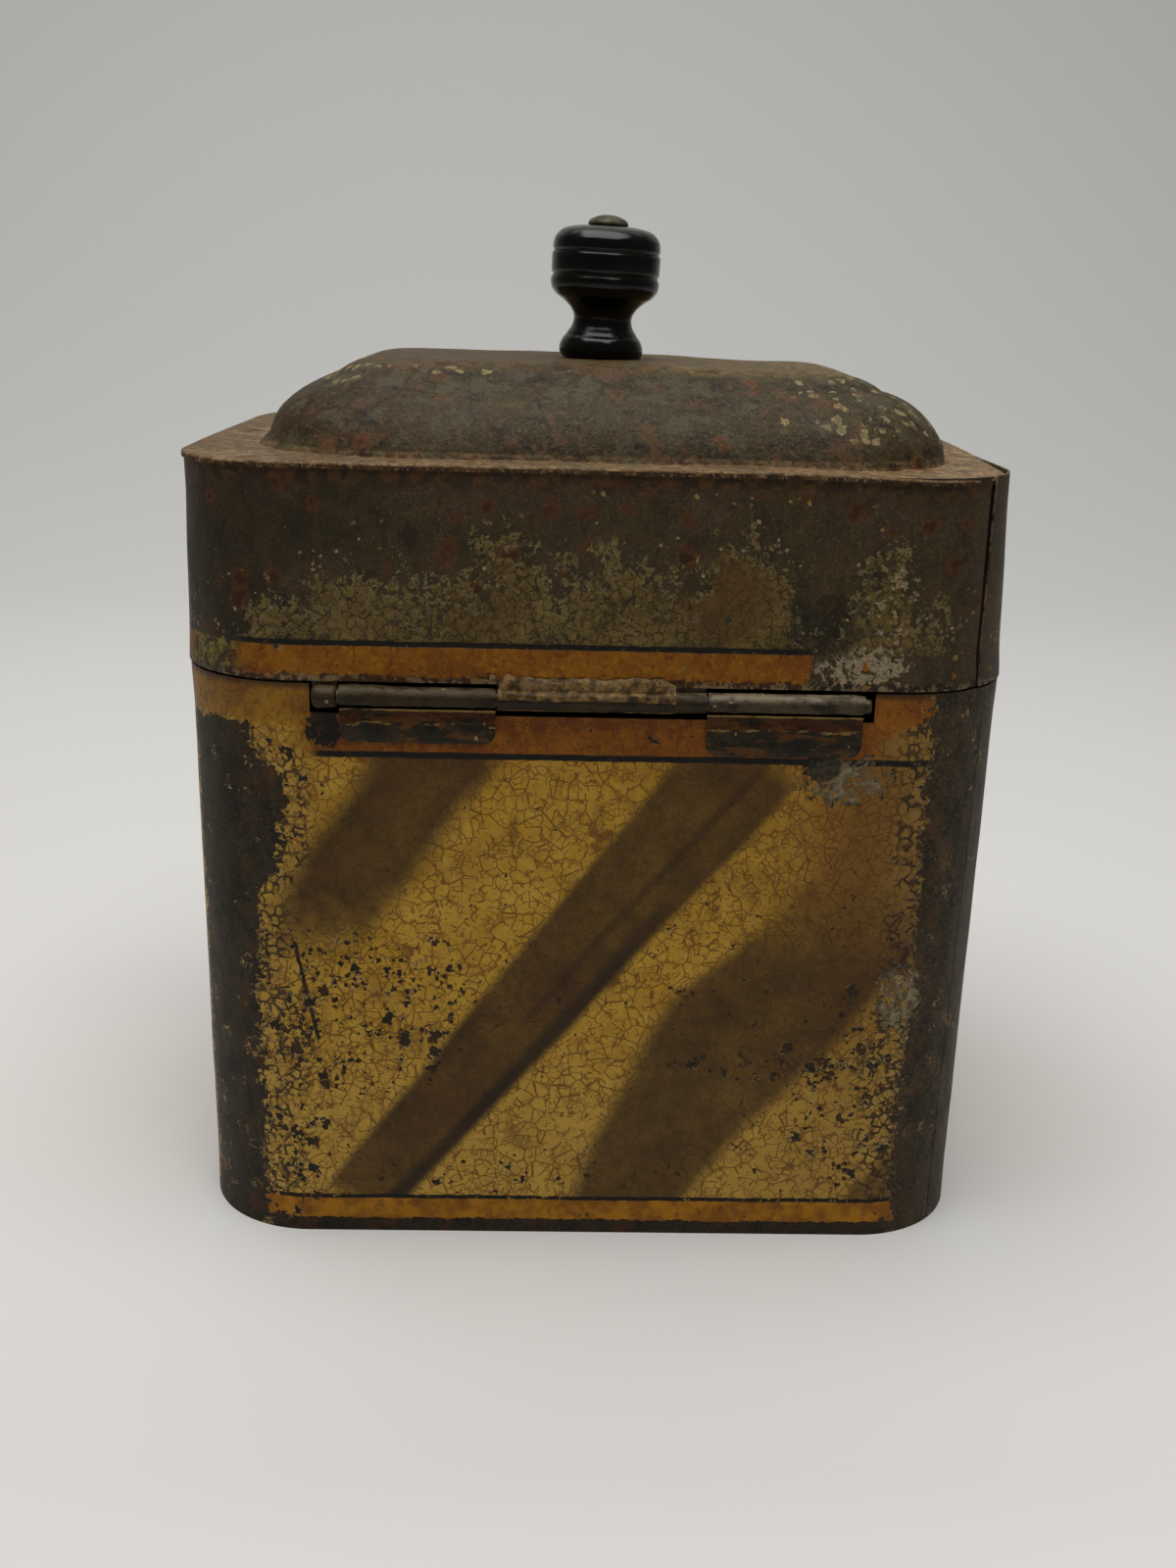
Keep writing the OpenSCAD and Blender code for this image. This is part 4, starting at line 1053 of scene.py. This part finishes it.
def ring(kind, cx, cy, r, sx=0.0, n_c=22, n_x=70, n_y=46):
    """One closed row of points on a rounded outline, always with the same number of points, from the hinge side's middle to +X and on."""
    cols = []
    for (px, py, a0, qx, qy, n) in ((-cx, cy, 90, cx, cy, n_x), (cx, cy, 0, cx, -cy, n_y), (cx, -cy, -90, -cx, -cy, n_x), (-cx, -cy, -180, -cx, cy, n_y)):
        for k in range(n):
            t = k / n
            cols.append((px + (qx - px) * t, py + (qy - py) * t, a0))
        for k in range(n_c):
            cols.append((qx, qy, a0 - 90 * k / n_c))
    cols = np.array(cols)
    a = np.radians(cols[:, 2])
    return np.stack([cols[:, 0] + r * np.cos(a) + sx, cols[:, 1] + r * np.sin(a)], -1)


def top_grid():
    rows, heights = [], []

    def add(xy, z):
        rows.append(xy)
        heights.append(np.full(len(xy), z))

    slope = 2.3 / LH
    for d in (FOLD, FOLD * 0.5, 0.42):
        add(ring(0, CX, CY, FOLD_R + slope * d), LEDGE_Z - d)
    for a in (20, 45, 70, 90):
        add(ring(0, CX, CY, FOLD_R - 0.3 + 0.3 * math.cos(math.radians(a))), LEDGE_Z - 0.3 + 0.3 * math.sin(math.radians(a)))
    outer = ring(0, CX, CY, FOLD_R - 0.3)
    foot = ring(1, DOME_CX, DOME_CY, FOOT_R, SHIFT)
    for t in (0.05, 0.12, 0.22, 0.34, 0.46, 0.58, 0.7, 0.8, 0.88, 0.94, 0.98):
        add(outer + (foot - outer) * t, LEDGE_Z)
    low = arc_points((11.6, LEDGE_Z), (26.9, LEDGE_Z + 14.5), 58, 16)
    top = arc_points((26.9, LEDGE_Z + 14.5), (36.4, PLATEAU_Z), 37, 9)
    for d, z in low + top[1:]:
        add(ring(1, DOME_CX, DOME_CY, FOOT_R - (d - 11.6), SHIFT), z)
    edge = ring(1, DOME_CX, DOME_CY, PLATEAU_R, SHIFT)
    hole = np.array([-0.3, 0.0])
    for t in (0.04, 0.1, 0.2, 0.32, 0.45, 0.58, 0.7, 0.8, 0.88, 0.94, 0.975):
        c = edge - hole
        rad = np.linalg.norm(c, axis=1, keepdims=True)
        add(hole + c * (1 - t) + c / rad * 1.9 * t, PLATEAU_Z)
    c = edge - hole
    add(hole + c / np.linalg.norm(c, axis=1, keepdims=True) * 1.9, PLATEAU_Z)
    g = np.concatenate([np.array(rows), np.array(heights)[..., None]], -1)
    return g, len(low) + len(top) - 1


def bend_top(p):
    n = p.copy()
    x, y, z = p[..., 0], p[..., 1], p[..., 2]
    on_ledge = smooth(LEDGE_Z + 3, LEDGE_Z, z)
    n[..., 0] += 1.72 * smooth(25, 82, x) * smooth(-62, 30, y) * on_ledge
    # near right corner pushed down and in
    hit = smooth(-34, -84, x) * smooth(-20, 58, y) * on_ledge
    n[..., 2] -= 1.15 * hit
    n[..., 0] += 1.15 * smooth(-66, -86, x) * smooth(5, 50, y) * on_ledge
    # gentle waves in the ledge and the dome
    w = 0.22 * wave(p, 34, 4) + 0.09 * wave(p, 11, 5)
    free = smooth(0, 3, np.minimum(FOLD_R + CX - np.abs(x), FOLD_R + CY - np.abs(y)))
    plate = smooth(13, 22, np.hypot(x + 0.3, y))
    n[..., 2] += w * 0.9 * free * plate
    # creases that run out from the dome on the left
    c = np.exp(-((x - 78) / 5.0) ** 2) * np.exp(-((y - 6) / 26.0) ** 2)
    n[..., 2] += 0.35 * c * np.sin((y + x * 0.8) * 0.42) * on_ledge
    n[..., 2] += 1.0 * smooth(-46, -8, x) * smooth(LEDGE_Z + 9, LEDGE_Z + 17, z)
    n[..., 0] += 1.1 * smooth(52, 70, x) * smooth(LEDGE_Z + 1, LEDGE_Z + 8, z) * smooth(LEDGE_Z + 16, LEDGE_Z + 11, z)
    # shallow knocks in the dome
    for kx, ky, rad, dep in ((30, 44, 12, 0.5), (-40, 46, 9, 0.35), (-60, 20, 10, 0.45), (58, 30, 9, 0.4), (5, -45, 12, 0.5), (62, -20, 11, 0.4)):
        n[..., 2] -= dep * np.exp(-(((x - kx) ** 2 + (y - ky) ** 2) / rad ** 2)) * (1 - on_ledge)
    return n


g_out, n_dome = top_grid()
g_out = bend_top(g_out)
nr = grid_normals(g_out, wrap=True)
if nr[20, 0, 2] < 0:
    nr = -nr
g_in = g_out - nr * T
v, f, k = shell(g_out, g_in, wrap=True)
n_first = np.array(f[0])
fn = np.cross(v[f[0][1]] - v[f[0][0]], v[f[0][2]] - v[f[0][0]])
if np.dot(fn, nr[0, 0]) < 0:
    f = [tuple(reversed(q)) for q in f]
n_cols = g_out.shape[1]
k = [3 if kind == 0 and j < 2 * n_cols * 2 else kind for j, kind in enumerate(k)]
lid_top = add_mesh("lid_top_with_dome", v, f, [M_TOP, M_IN, M_RIM, M_RIM], k, angle=40)


# ---------------------------------------------------------------- knob and bolt
def lathe(name, profile, lean, foot, mats, n=72, wob=0.0):
    """Turns a closed (r, z) outline about an axis that leans towards -X."""
    prof = np.array(profile, float)
    a = np.linspace(0, 2 * math.pi, n, endpoint=False)
    r = prof[:, 0][:, None] * np.ones(n)
    x = r * np.cos(a)
    y = r * np.sin(a)
    z = prof[:, 1][:, None] * np.ones(n)
    p = np.stack([x, y, z], -1)
    if wob:
        q = p / np.array([1, 1, 1])
        rad = np.stack([np.cos(a) * np.ones_like(r), np.sin(a) * np.ones_like(r), 0 * r], -1)
        p = p + rad * (wob * wave(q, 9, 6))[..., None]
    t = math.radians(-lean)
    rot = np.array([[math.cos(t), 0, math.sin(t)], [0, 1, 0], [-math.sin(t), 0, math.cos(t)]])
    p = p @ rot.T + np.array(foot)
    m = len(prof)
    idx = np.arange(m * n).reshape(m, n)
    faces = []
    for i in range(m):
        for j in range(n):
            a0, a1, b1, b0 = idx[i, j], idx[i, (j + 1) % n], idx[(i + 1) % m, (j + 1) % n], idx[(i + 1) % m, j]
            faces.append((a0, a1, b1, b0))
    return add_mesh(name, p.reshape(-1, 3), faces, mats, angle=50)


def spline(points, per=4):
    """Catmull-Rom through (r, z) points."""
    p = np.array(points, float)
    out = []
    for k in range(len(p) - 1):
        p0, p1, p2, p3 = p[max(k - 1, 0)], p[k], p[k + 1], p[min(k + 2, len(p) - 1)]
        for t in np.linspace(0, 1, per, endpoint=False):
            out.append(0.5 * (2 * p1 + (p2 - p0) * t + (2 * p0 - 5 * p1 + 4 * p2 - p3) * t * t + (3 * p1 - p0 - 3 * p2 + p3) * t ** 3))
    out.append(p[-1])
    return [tuple(q) for q in out]


LIFT = 19.6 / 2 * math.sin(math.radians(2)) + 0.02
KFOOT = (-0.3, 0, PLATEAU_Z)
shape = [(8.6, 0.62), (9.35, 1.05), (9.75, 2.1), (9.78, 3.2), (9.35, 4.4), (8.95, 5.1), (8.4, 5.75), (8.0, 6.4), (7.5, 7.1), (7.1, 7.8),
         (6.82, 8.8), (6.75, 9.5), (6.95, 10.5), (7.3, 11.2), (7.85, 11.95), (8.4, 12.5), (9.05, 13.1), (9.95, 13.75), (10.9, 14.35),
         (11.5, 14.95), (12.1, 15.7), (12.42, 16.4), (12.56, 17.2), (12.58, 17.9)]
knob_prof = [(2.0, 0.6)] + spline(shape, 3)
knob_prof += [(12.52, 18.35), (12.28, 18.7), (12.16, 19.0), (12.28, 19.3), (12.5, 19.6), (12.55, 20.4), (12.6, 21.8), (12.6, 23.0), (12.54, 23.7),
              (12.3, 24.0), (12.16, 24.3), (12.28, 24.6), (12.46, 24.95)]
knob_prof += spline([(12.46, 24.95), (12.34, 26.2), (12.18, 27.0), (11.85, 27.6), (11.35, 28.25), (10.65, 28.9), (9.4, 29.5), (7.3, 29.95), (5.1, 30.15)], 3)[1:]
knob_prof += [(2.0, 30.2)]
knob = lathe("turned_knob", [(r, z + LIFT) for r, z in knob_prof], 2, KFOOT, [M_KNOB], n=96, wob=0.02)
head = [(1.7, -6.2), (1.7, 30.3), (4.5, 30.28), (4.66, 30.5), (4.6, 30.8), (4.35, 31.25), (3.9, 31.6), (3.2, 31.95), (2.3, 32.3), (1.3, 32.52), (0.02, 32.6), (0.02, -6.6), (1.4, -6.6)]
bolt = lathe("knob_rivet", [(r, z + LIFT) for r, z in head], 2, KFOOT, [M_BOLT], n=40, wob=0.05)


# ---------------------------------------------------------------- hinge
def strip_sweep(xs, section, mats, name, caps=True):
    """Sweeps a strip with thickness along X. section(x) gives two equal lists of (y, z): its outer and its inner side."""
    outs, ins = [], []
    for x in xs:
        a, b = section(x)
        outs.append([(x, y, z) for y, z in a])
        ins.append([(x, y, z) for y, z in b])
    v, f, k = shell(np.array(outs), np.array(ins))
    fn = np.cross(v[f[0][1]] - v[f[0][0]], v[f[0][2]] - v[f[0][0]])
    mid = np.array(outs)[0, 0] - np.array(ins)[0, 0]
    if np.dot(fn, mid) < 0:
        f = [tuple(reversed(q)) for q in f]
    return v, f, k


def stations(x0, x1, step=0.8):
    n = max(6, int((x1 - x0) / step))
    t = np.linspace(0, 1, n)
    inner = x0 + (x1 - x0) * t
    return np.concatenate([[x0, x0 + 0.12], inner[1:-1], [x1 - 0.12, x1]])


def end_round(x, x0, x1, r):
    """How far an edge draws back near the ends of a piece, for rounded corners."""
    d = min(x - x0, x1 - x)
    return 0.0 if d >= r else r - math.sqrt(max(r * r - (r - d) ** 2, 0))


def body_leaf(x0, x1, zb, bump=None, seed=0):
    def section(x):
        outer, inner = [], []
        lump = lambda y, z, s: float(wave(np.array([x, y * 1.0, z]), s, 6 + seed % 2))
        lift = bump(x) if bump else 0.0
        zlow = zb + end_round(x, x0, x1, 2.6) * 0.9 + 0.18 * lump(0, zb, 6)
        for t in np.linspace(0, 1, 9):
            z = zlow + (123.9 - zlow) * t
            face = CY + rb(z) + 0.04
            thick = 0.62 + 0.13 * lump(5, z, 3.2) * smooth(0, 0.25, t) - 0.28 * smooth(0.68, 0.8, t)
            if t == 0:
                thick = 0.25
            outer.append((face + thick, z))
            inner.append((face, z))
        # up behind the wire, over it and down in front, to a lip
        for a in np.linspace(-104, -392, 40):
            ro = 2.27 + 0.07 * lump(a * 0.03, 0, 3.4) + 0.04 * lump(a * 0.06, 9, 1.5) + lift * math.exp(-((a + 262) / 38.0) ** 2)
            if a < -370:
                ro += 0.10 * (-370 - a) / 22
            if a > -112:
                ro -= 0.2 * (a + 112) / 8
            ri = 1.56
            ca, sa = math.cos(math.radians(a)), math.sin(math.radians(a))
            outer.append((min(AX_Y + ro * ca, 70.58), AX_Z + ro * sa))
            inner.append((AX_Y + ri * ca, AX_Z + ri * sa))
        return outer, inner
    return section


def leaf_object(name, x0, x1, zb, bump=None, seed=0):
    """The leaf's plate and its roll, which meet behind the roll's lip."""
    xs = stations(x0, x1)
    full = body_leaf(x0, x1, zb, bump, seed)
    plate = strip_sweep(xs, lambda x: (full(x)[0][:9], full(x)[1][:9]), None, name)
    roll = strip_sweep(xs, lambda x: (full(x)[0][9:], full(x)[1][9:]), None, name)
    v, f, k = join([plate, roll])
    return add_mesh(name, v, f, [M_HINGE], angle=50)


XLI, XLO, XRI, XRO = 21.4 + 0.175, 54.1 - 0.175, -22.4 - 0.175, -55.3
leaf_left = leaf_object("hinge_leaf_left_rolled", XLI, XLO, 116.6, lambda x: 0.42 * float(smooth(41, 50, x) * smooth(54.5, 52.5, x)), 0)
leaf_right = leaf_object("hinge_leaf_right_rolled", XRO, XRI, 114.9, None, 1)


def ring_section(lump_fun):
    def section(x):
        outer, inner = [], []
        for a in np.linspace(0, -358, 44):
            ro = 2.3 + lump_fun(x, a)
            ca, sa = math.cos(math.radians(a)), math.sin(math.radians(a))
            outer.append((min(AX_Y + ro * ca, 70.58), AX_Z + ro * sa))
            inner.append((AX_Y + 1.56 * ca, AX_Z + 1.56 * sa))
        return outer, inner
    return section


def lid_leaf_parts():
    r_in = T + FILM
    xa0, xa1 = 54.1 + 0.175, 59.5
    xb0, xb1 = -22.4 + 0.175, 21.4 - 0.175
    parts = []
    near = lambda x, a, s, k: float(wave(np.array([x, 3 * math.cos(math.radians(a)), 3 * math.sin(math.radians(a))]), s, k))
    parts.append(strip_sweep(stations(xa0, xa1, 0.5), ring_section(
        lambda x, a: 0.10 * near(x, a, 3.0, 5) - 0.75 * max(end_round(x, xa0, xa1, 1.5) - 0.15, 0) + 0.08), None, ""))
    parts.append(strip_sweep(stations(xb0, xb1, 0.8), ring_section(
        lambda x, a: 0.05 * near(x, a, 4.0, 6) - 0.18 * float(smooth(-15, -17, x))), None, ""))
    up = lambda zt: (lambda x: ([(CY + rl(max(z - LZ, 0)) - r_in, z) for z in np.linspace(128.3, zt, 10)],
                                [(CY + rl(max(z - LZ, 0)) - r_in - 0.7, z) for z in np.linspace(128.3, zt, 10)]))
    parts.append(strip_sweep(stations(xa0, xa1, 0.6), up(130.2), None, ""))
    parts.append(strip_sweep(stations(xb0, xb1, 1.5), up(130.2), None, ""))
    full = lambda x: ([(CY + rl(z - LZ) - r_in + 0.0, z) for z in np.linspace(129.75, 142.6 - end_round(x, xb0, xa1, 3.0), 12)],
                      [(CY + rl(z - LZ) - r_in - 0.7, z) for z in np.linspace(129.75, 142.6 - end_round(x, xb0, xa1, 3.0), 12)])
    parts.append(strip_sweep(stations(xb0, xa1, 1.5), full, None, ""))
    return join(parts)


v, f, k = lid_leaf_parts()
lid_leaf = add_mesh("lid_hinge_leaf_rolled", v, f, [M_HINGE], angle=50)


def solder_run():
    x0, x1 = -15.8, 20.9
    xs = stations(x0, x1, 0.5)

    def section(x):
        ends = float(smooth(x0, x0 + 2.2, x) * smooth(x1, x1 - 1.4, x))
        l1 = float(wave(np.array([x, 0.0, 0.0]), 6.5, 3))
        l2 = float(wave(np.array([x, 9.0, 2.0]), 2.6, 4))
        over = 0.42 + 0.16 * l1 + 0.10 * l2
        outer, inner = [], []
        for a in np.linspace(2, 62, 11):
            t = (a - 2) / 60
            ro = 2.3 + (0.03 + over * math.sin(math.pi * min(1, 0.25 + t * 0.75)) * ends)
            outer.append((min(AX_Y + ro * math.cos(math.radians(a)), 70.56), AX_Z + ro * math.sin(math.radians(a))))
        # run up to the lid's edge
        top_z = LZ + 0.5 + (1.15 + 0.35 * l1 + 0.2 * l2) * ends
        y_face = CY + rl(0) + 0.04
        p = outer[-1]
        for t in (0.25, 0.5, 0.75, 1.0):
            y = min(p[0] + (y_face + 0.12 - p[0]) * t, 70.3)
            z = p[1] + (top_z - p[1]) * t
            b = 0.28 * math.sin(math.pi * t) * ends
            outer.append((min(y + b, 70.5), z + b * 0.4))
        for a in np.linspace(2, 62, 11):
            inner.append((AX_Y + 2.0 * math.cos(math.radians(a)), AX_Z + 2.0 * math.sin(math.radians(a))))
        q = inner[-1]
        for t in (0.25, 0.5, 0.75, 1.0):
            inner.append((q[0] + (y_face - 0.1 - q[0]) * t, q[1] + (top_z - 0.25 - q[1]) * t))
        return outer, inner
    return strip_sweep(xs, section, None, "")


v, f, k = solder_run()
solder = add_mesh("lid_hinge_solder_run", v, f, [M_SOLDER], angle=60)


def wire():
    n = 28
    xs = np.concatenate([np.linspace(58.6, -55.0, 40), np.linspace(-55.2, -56.7, 6)])
    rows = []
    for x in xs:
        a = np.linspace(0, 2 * math.pi, n, endpoint=False)
        r = 1.5
        if x > 58.4:
            r = 1.36
        if x < -56.4:
            r = 1.5 - 0.22 * (-56.4 - x) / 0.3
        drop = 0.0
        rows.append([(x, AX_Y + r * math.cos(t), AX_Z - drop + r * math.sin(t)) for t in a])
    g = np.array(rows)
    R = len(xs)
    idx = np.arange(R * n).reshape(R, n)
    faces = [(idx[r, c], idx[r, (c + 1) % n], idx[r + 1, (c + 1) % n], idx[r + 1, c]) for r in range(R - 1) for c in range(n)]
    faces.append(tuple(reversed(idx[0])))
    faces.append(tuple(idx[-1]))
    return add_mesh("hinge_wire", g.reshape(-1, 3), faces, [M_BOLT2], angle=50)


def wire_iron():
    g = G("dull_iron_wire")
    n1 = g.noise(3, 4, 0.6, off=(81, 1, 7))
    n2 = g.noise(0.6, 4, 0.65, off=(82, 2, 4))
    c = g.mix(g.step(0.4, 0.6, n1), rgb(92, 84, 66, 1.0), rgb(62, 52, 38, 1.0))
    c = g.mix(g.step(0.56, 0.68, n2) * 0.7, c, rgb(70, 42, 24, 1.0))
    return g.finish(c, g.ramp(n2, 0.35, 0.6), (n2 - 0.5) * 0.05, 0.6)


M_BOLT2 = wire_iron()
pin = wire()

# ---------------------------------------------------------------- who rides on what
for piece, body, nodes, slot in (
    (body_back, "tin_body", ["body_back_sheet"], "body_paint"),
    (body_front, "tin_body", ["body_front_sheet"], "body_paint"),
    (leaf_left, "tin_body", ["hinge_leaf_left"], "hinge_metal"),
    (leaf_right, "tin_body", ["hinge_leaf_right"], "hinge_metal"),
    (pin, "tin_body", ["hinge_pin"], "hinge_wire"),
    (lid_back, "lid", ["lid_band_back"], "lid_paint"),
    (lid_front, "lid", ["lid_band_front"], "lid_paint"),
    (lid_top, "lid", ["lid_top"], "bare_tin"),
    (lid_leaf, "lid", ["lid_hinge_leaf"], "hinge_metal"),
    (solder, "lid", ["lid_hinge_solder"], "solder"),
    (knob, "lid", ["knob"], "knob_black"),
    (bolt, "lid", ["knob_bolt"], "bolt_steel"),
):
    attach(piece, body)
    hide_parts(*nodes)


def dress(node, mat):
    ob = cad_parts[node]
    for k in range(max(1, len(ob.material_slots))):
        if not ob.material_slots:
            ob.data.materials.append(mat)
        ob.material_slots[k].link = "OBJECT"
        ob.material_slots[k].material = mat


dress("bottom_plate", M_IN)
dress("inner_collar", M_IN2)
dress("knob_washer", M_BOLT)
dress("knob_nut", M_BOLT)


# ---------------------------------------------------------------- stage and light
def stage():
    g = G("pale_studio_floor")
    n1 = g.noise(300, 3, 0.5, off=(1, 2, 3))
    n2 = g.noise(2.0, 3, 0.5, off=(4, 2, 3))
    c = g.mix(g.step(0.3, 0.7, n1), (0.73, 0.715, 0.69), (0.715, 0.70, 0.675))
    # painted shade: the cove and wall darker than the floor, for less light reaching them
    c = g.mix(g.step(-500.0, -1150.0, g.y), c, (0.62, 0.62, 0.60))
    # painted light: the wall paler towards its top, making up for light falling off with height
    c = g.mix(g.step(500.0, 1500.0, g.z), c, (0.80, 0.815, 0.78))
    mat = g.finish(c, g.ramp(n2, 0.55, 0.65), n2 * 0.02, 0.0)
    prof = [(2.6, 0.0), (1.2, 0.0), (0.4, 0.0), (-0.5, 0.0)]
    for a in range(0, 91, 6):
        prof.append((-0.7 - 0.5 * math.sin(math.radians(a)), 0.5 - 0.5 * math.cos(math.radians(a))))
    prof += [(-1.2, 1.2), (-1.2, 2.6)]
    xs = np.linspace(-3, 3, 7)
    verts = [(x * 1000, y * 1000, z * 1000) for y, z in prof for x in xs]
    n = len(xs)
    faces = [(r * n + c, r * n + c + 1, (r + 1) * n + c + 1, (r + 1) * n + c) for r in range(len(prof) - 1) for c in range(n - 1)]
    return add_mesh("floor", verts, faces, [mat])


stage()


def area(name, loc, target, size, size_y, power, color=(1, 1, 1)):
    d = bpy.data.lights.new(name, "AREA")
    d.energy = power
    d.shape = "RECTANGLE"
    d.size, d.size_y = size, size_y
    d.color = color
    o = bpy.data.objects.new(name, d)
    scene.collection.objects.link(o)
    o.location = loc
    o.rotation_mode = "QUATERNION"
    o.rotation_quaternion = (Vector(target) - Vector(loc)).to_track_quat("-Z", "Y")
    return o


area("soft_top", (0.08, 0.25, 1.35), (0, 0.02, 0.05), 1.4, 1.0, 18.5)
area("backdrop", (0, -0.75, 1.7), (0, -1.2, 0.7), 2.4, 0.25, 5.5)
w = bpy.data.worlds.new("world")
w.use_nodes = True
w.node_tree.nodes["Background"].inputs[0].default_value = (1, 0.98, 0.95, 1)
w.node_tree.nodes["Background"].inputs[1].default_value = 0.10
scene.world = w

bpy.context.view_layer.update()
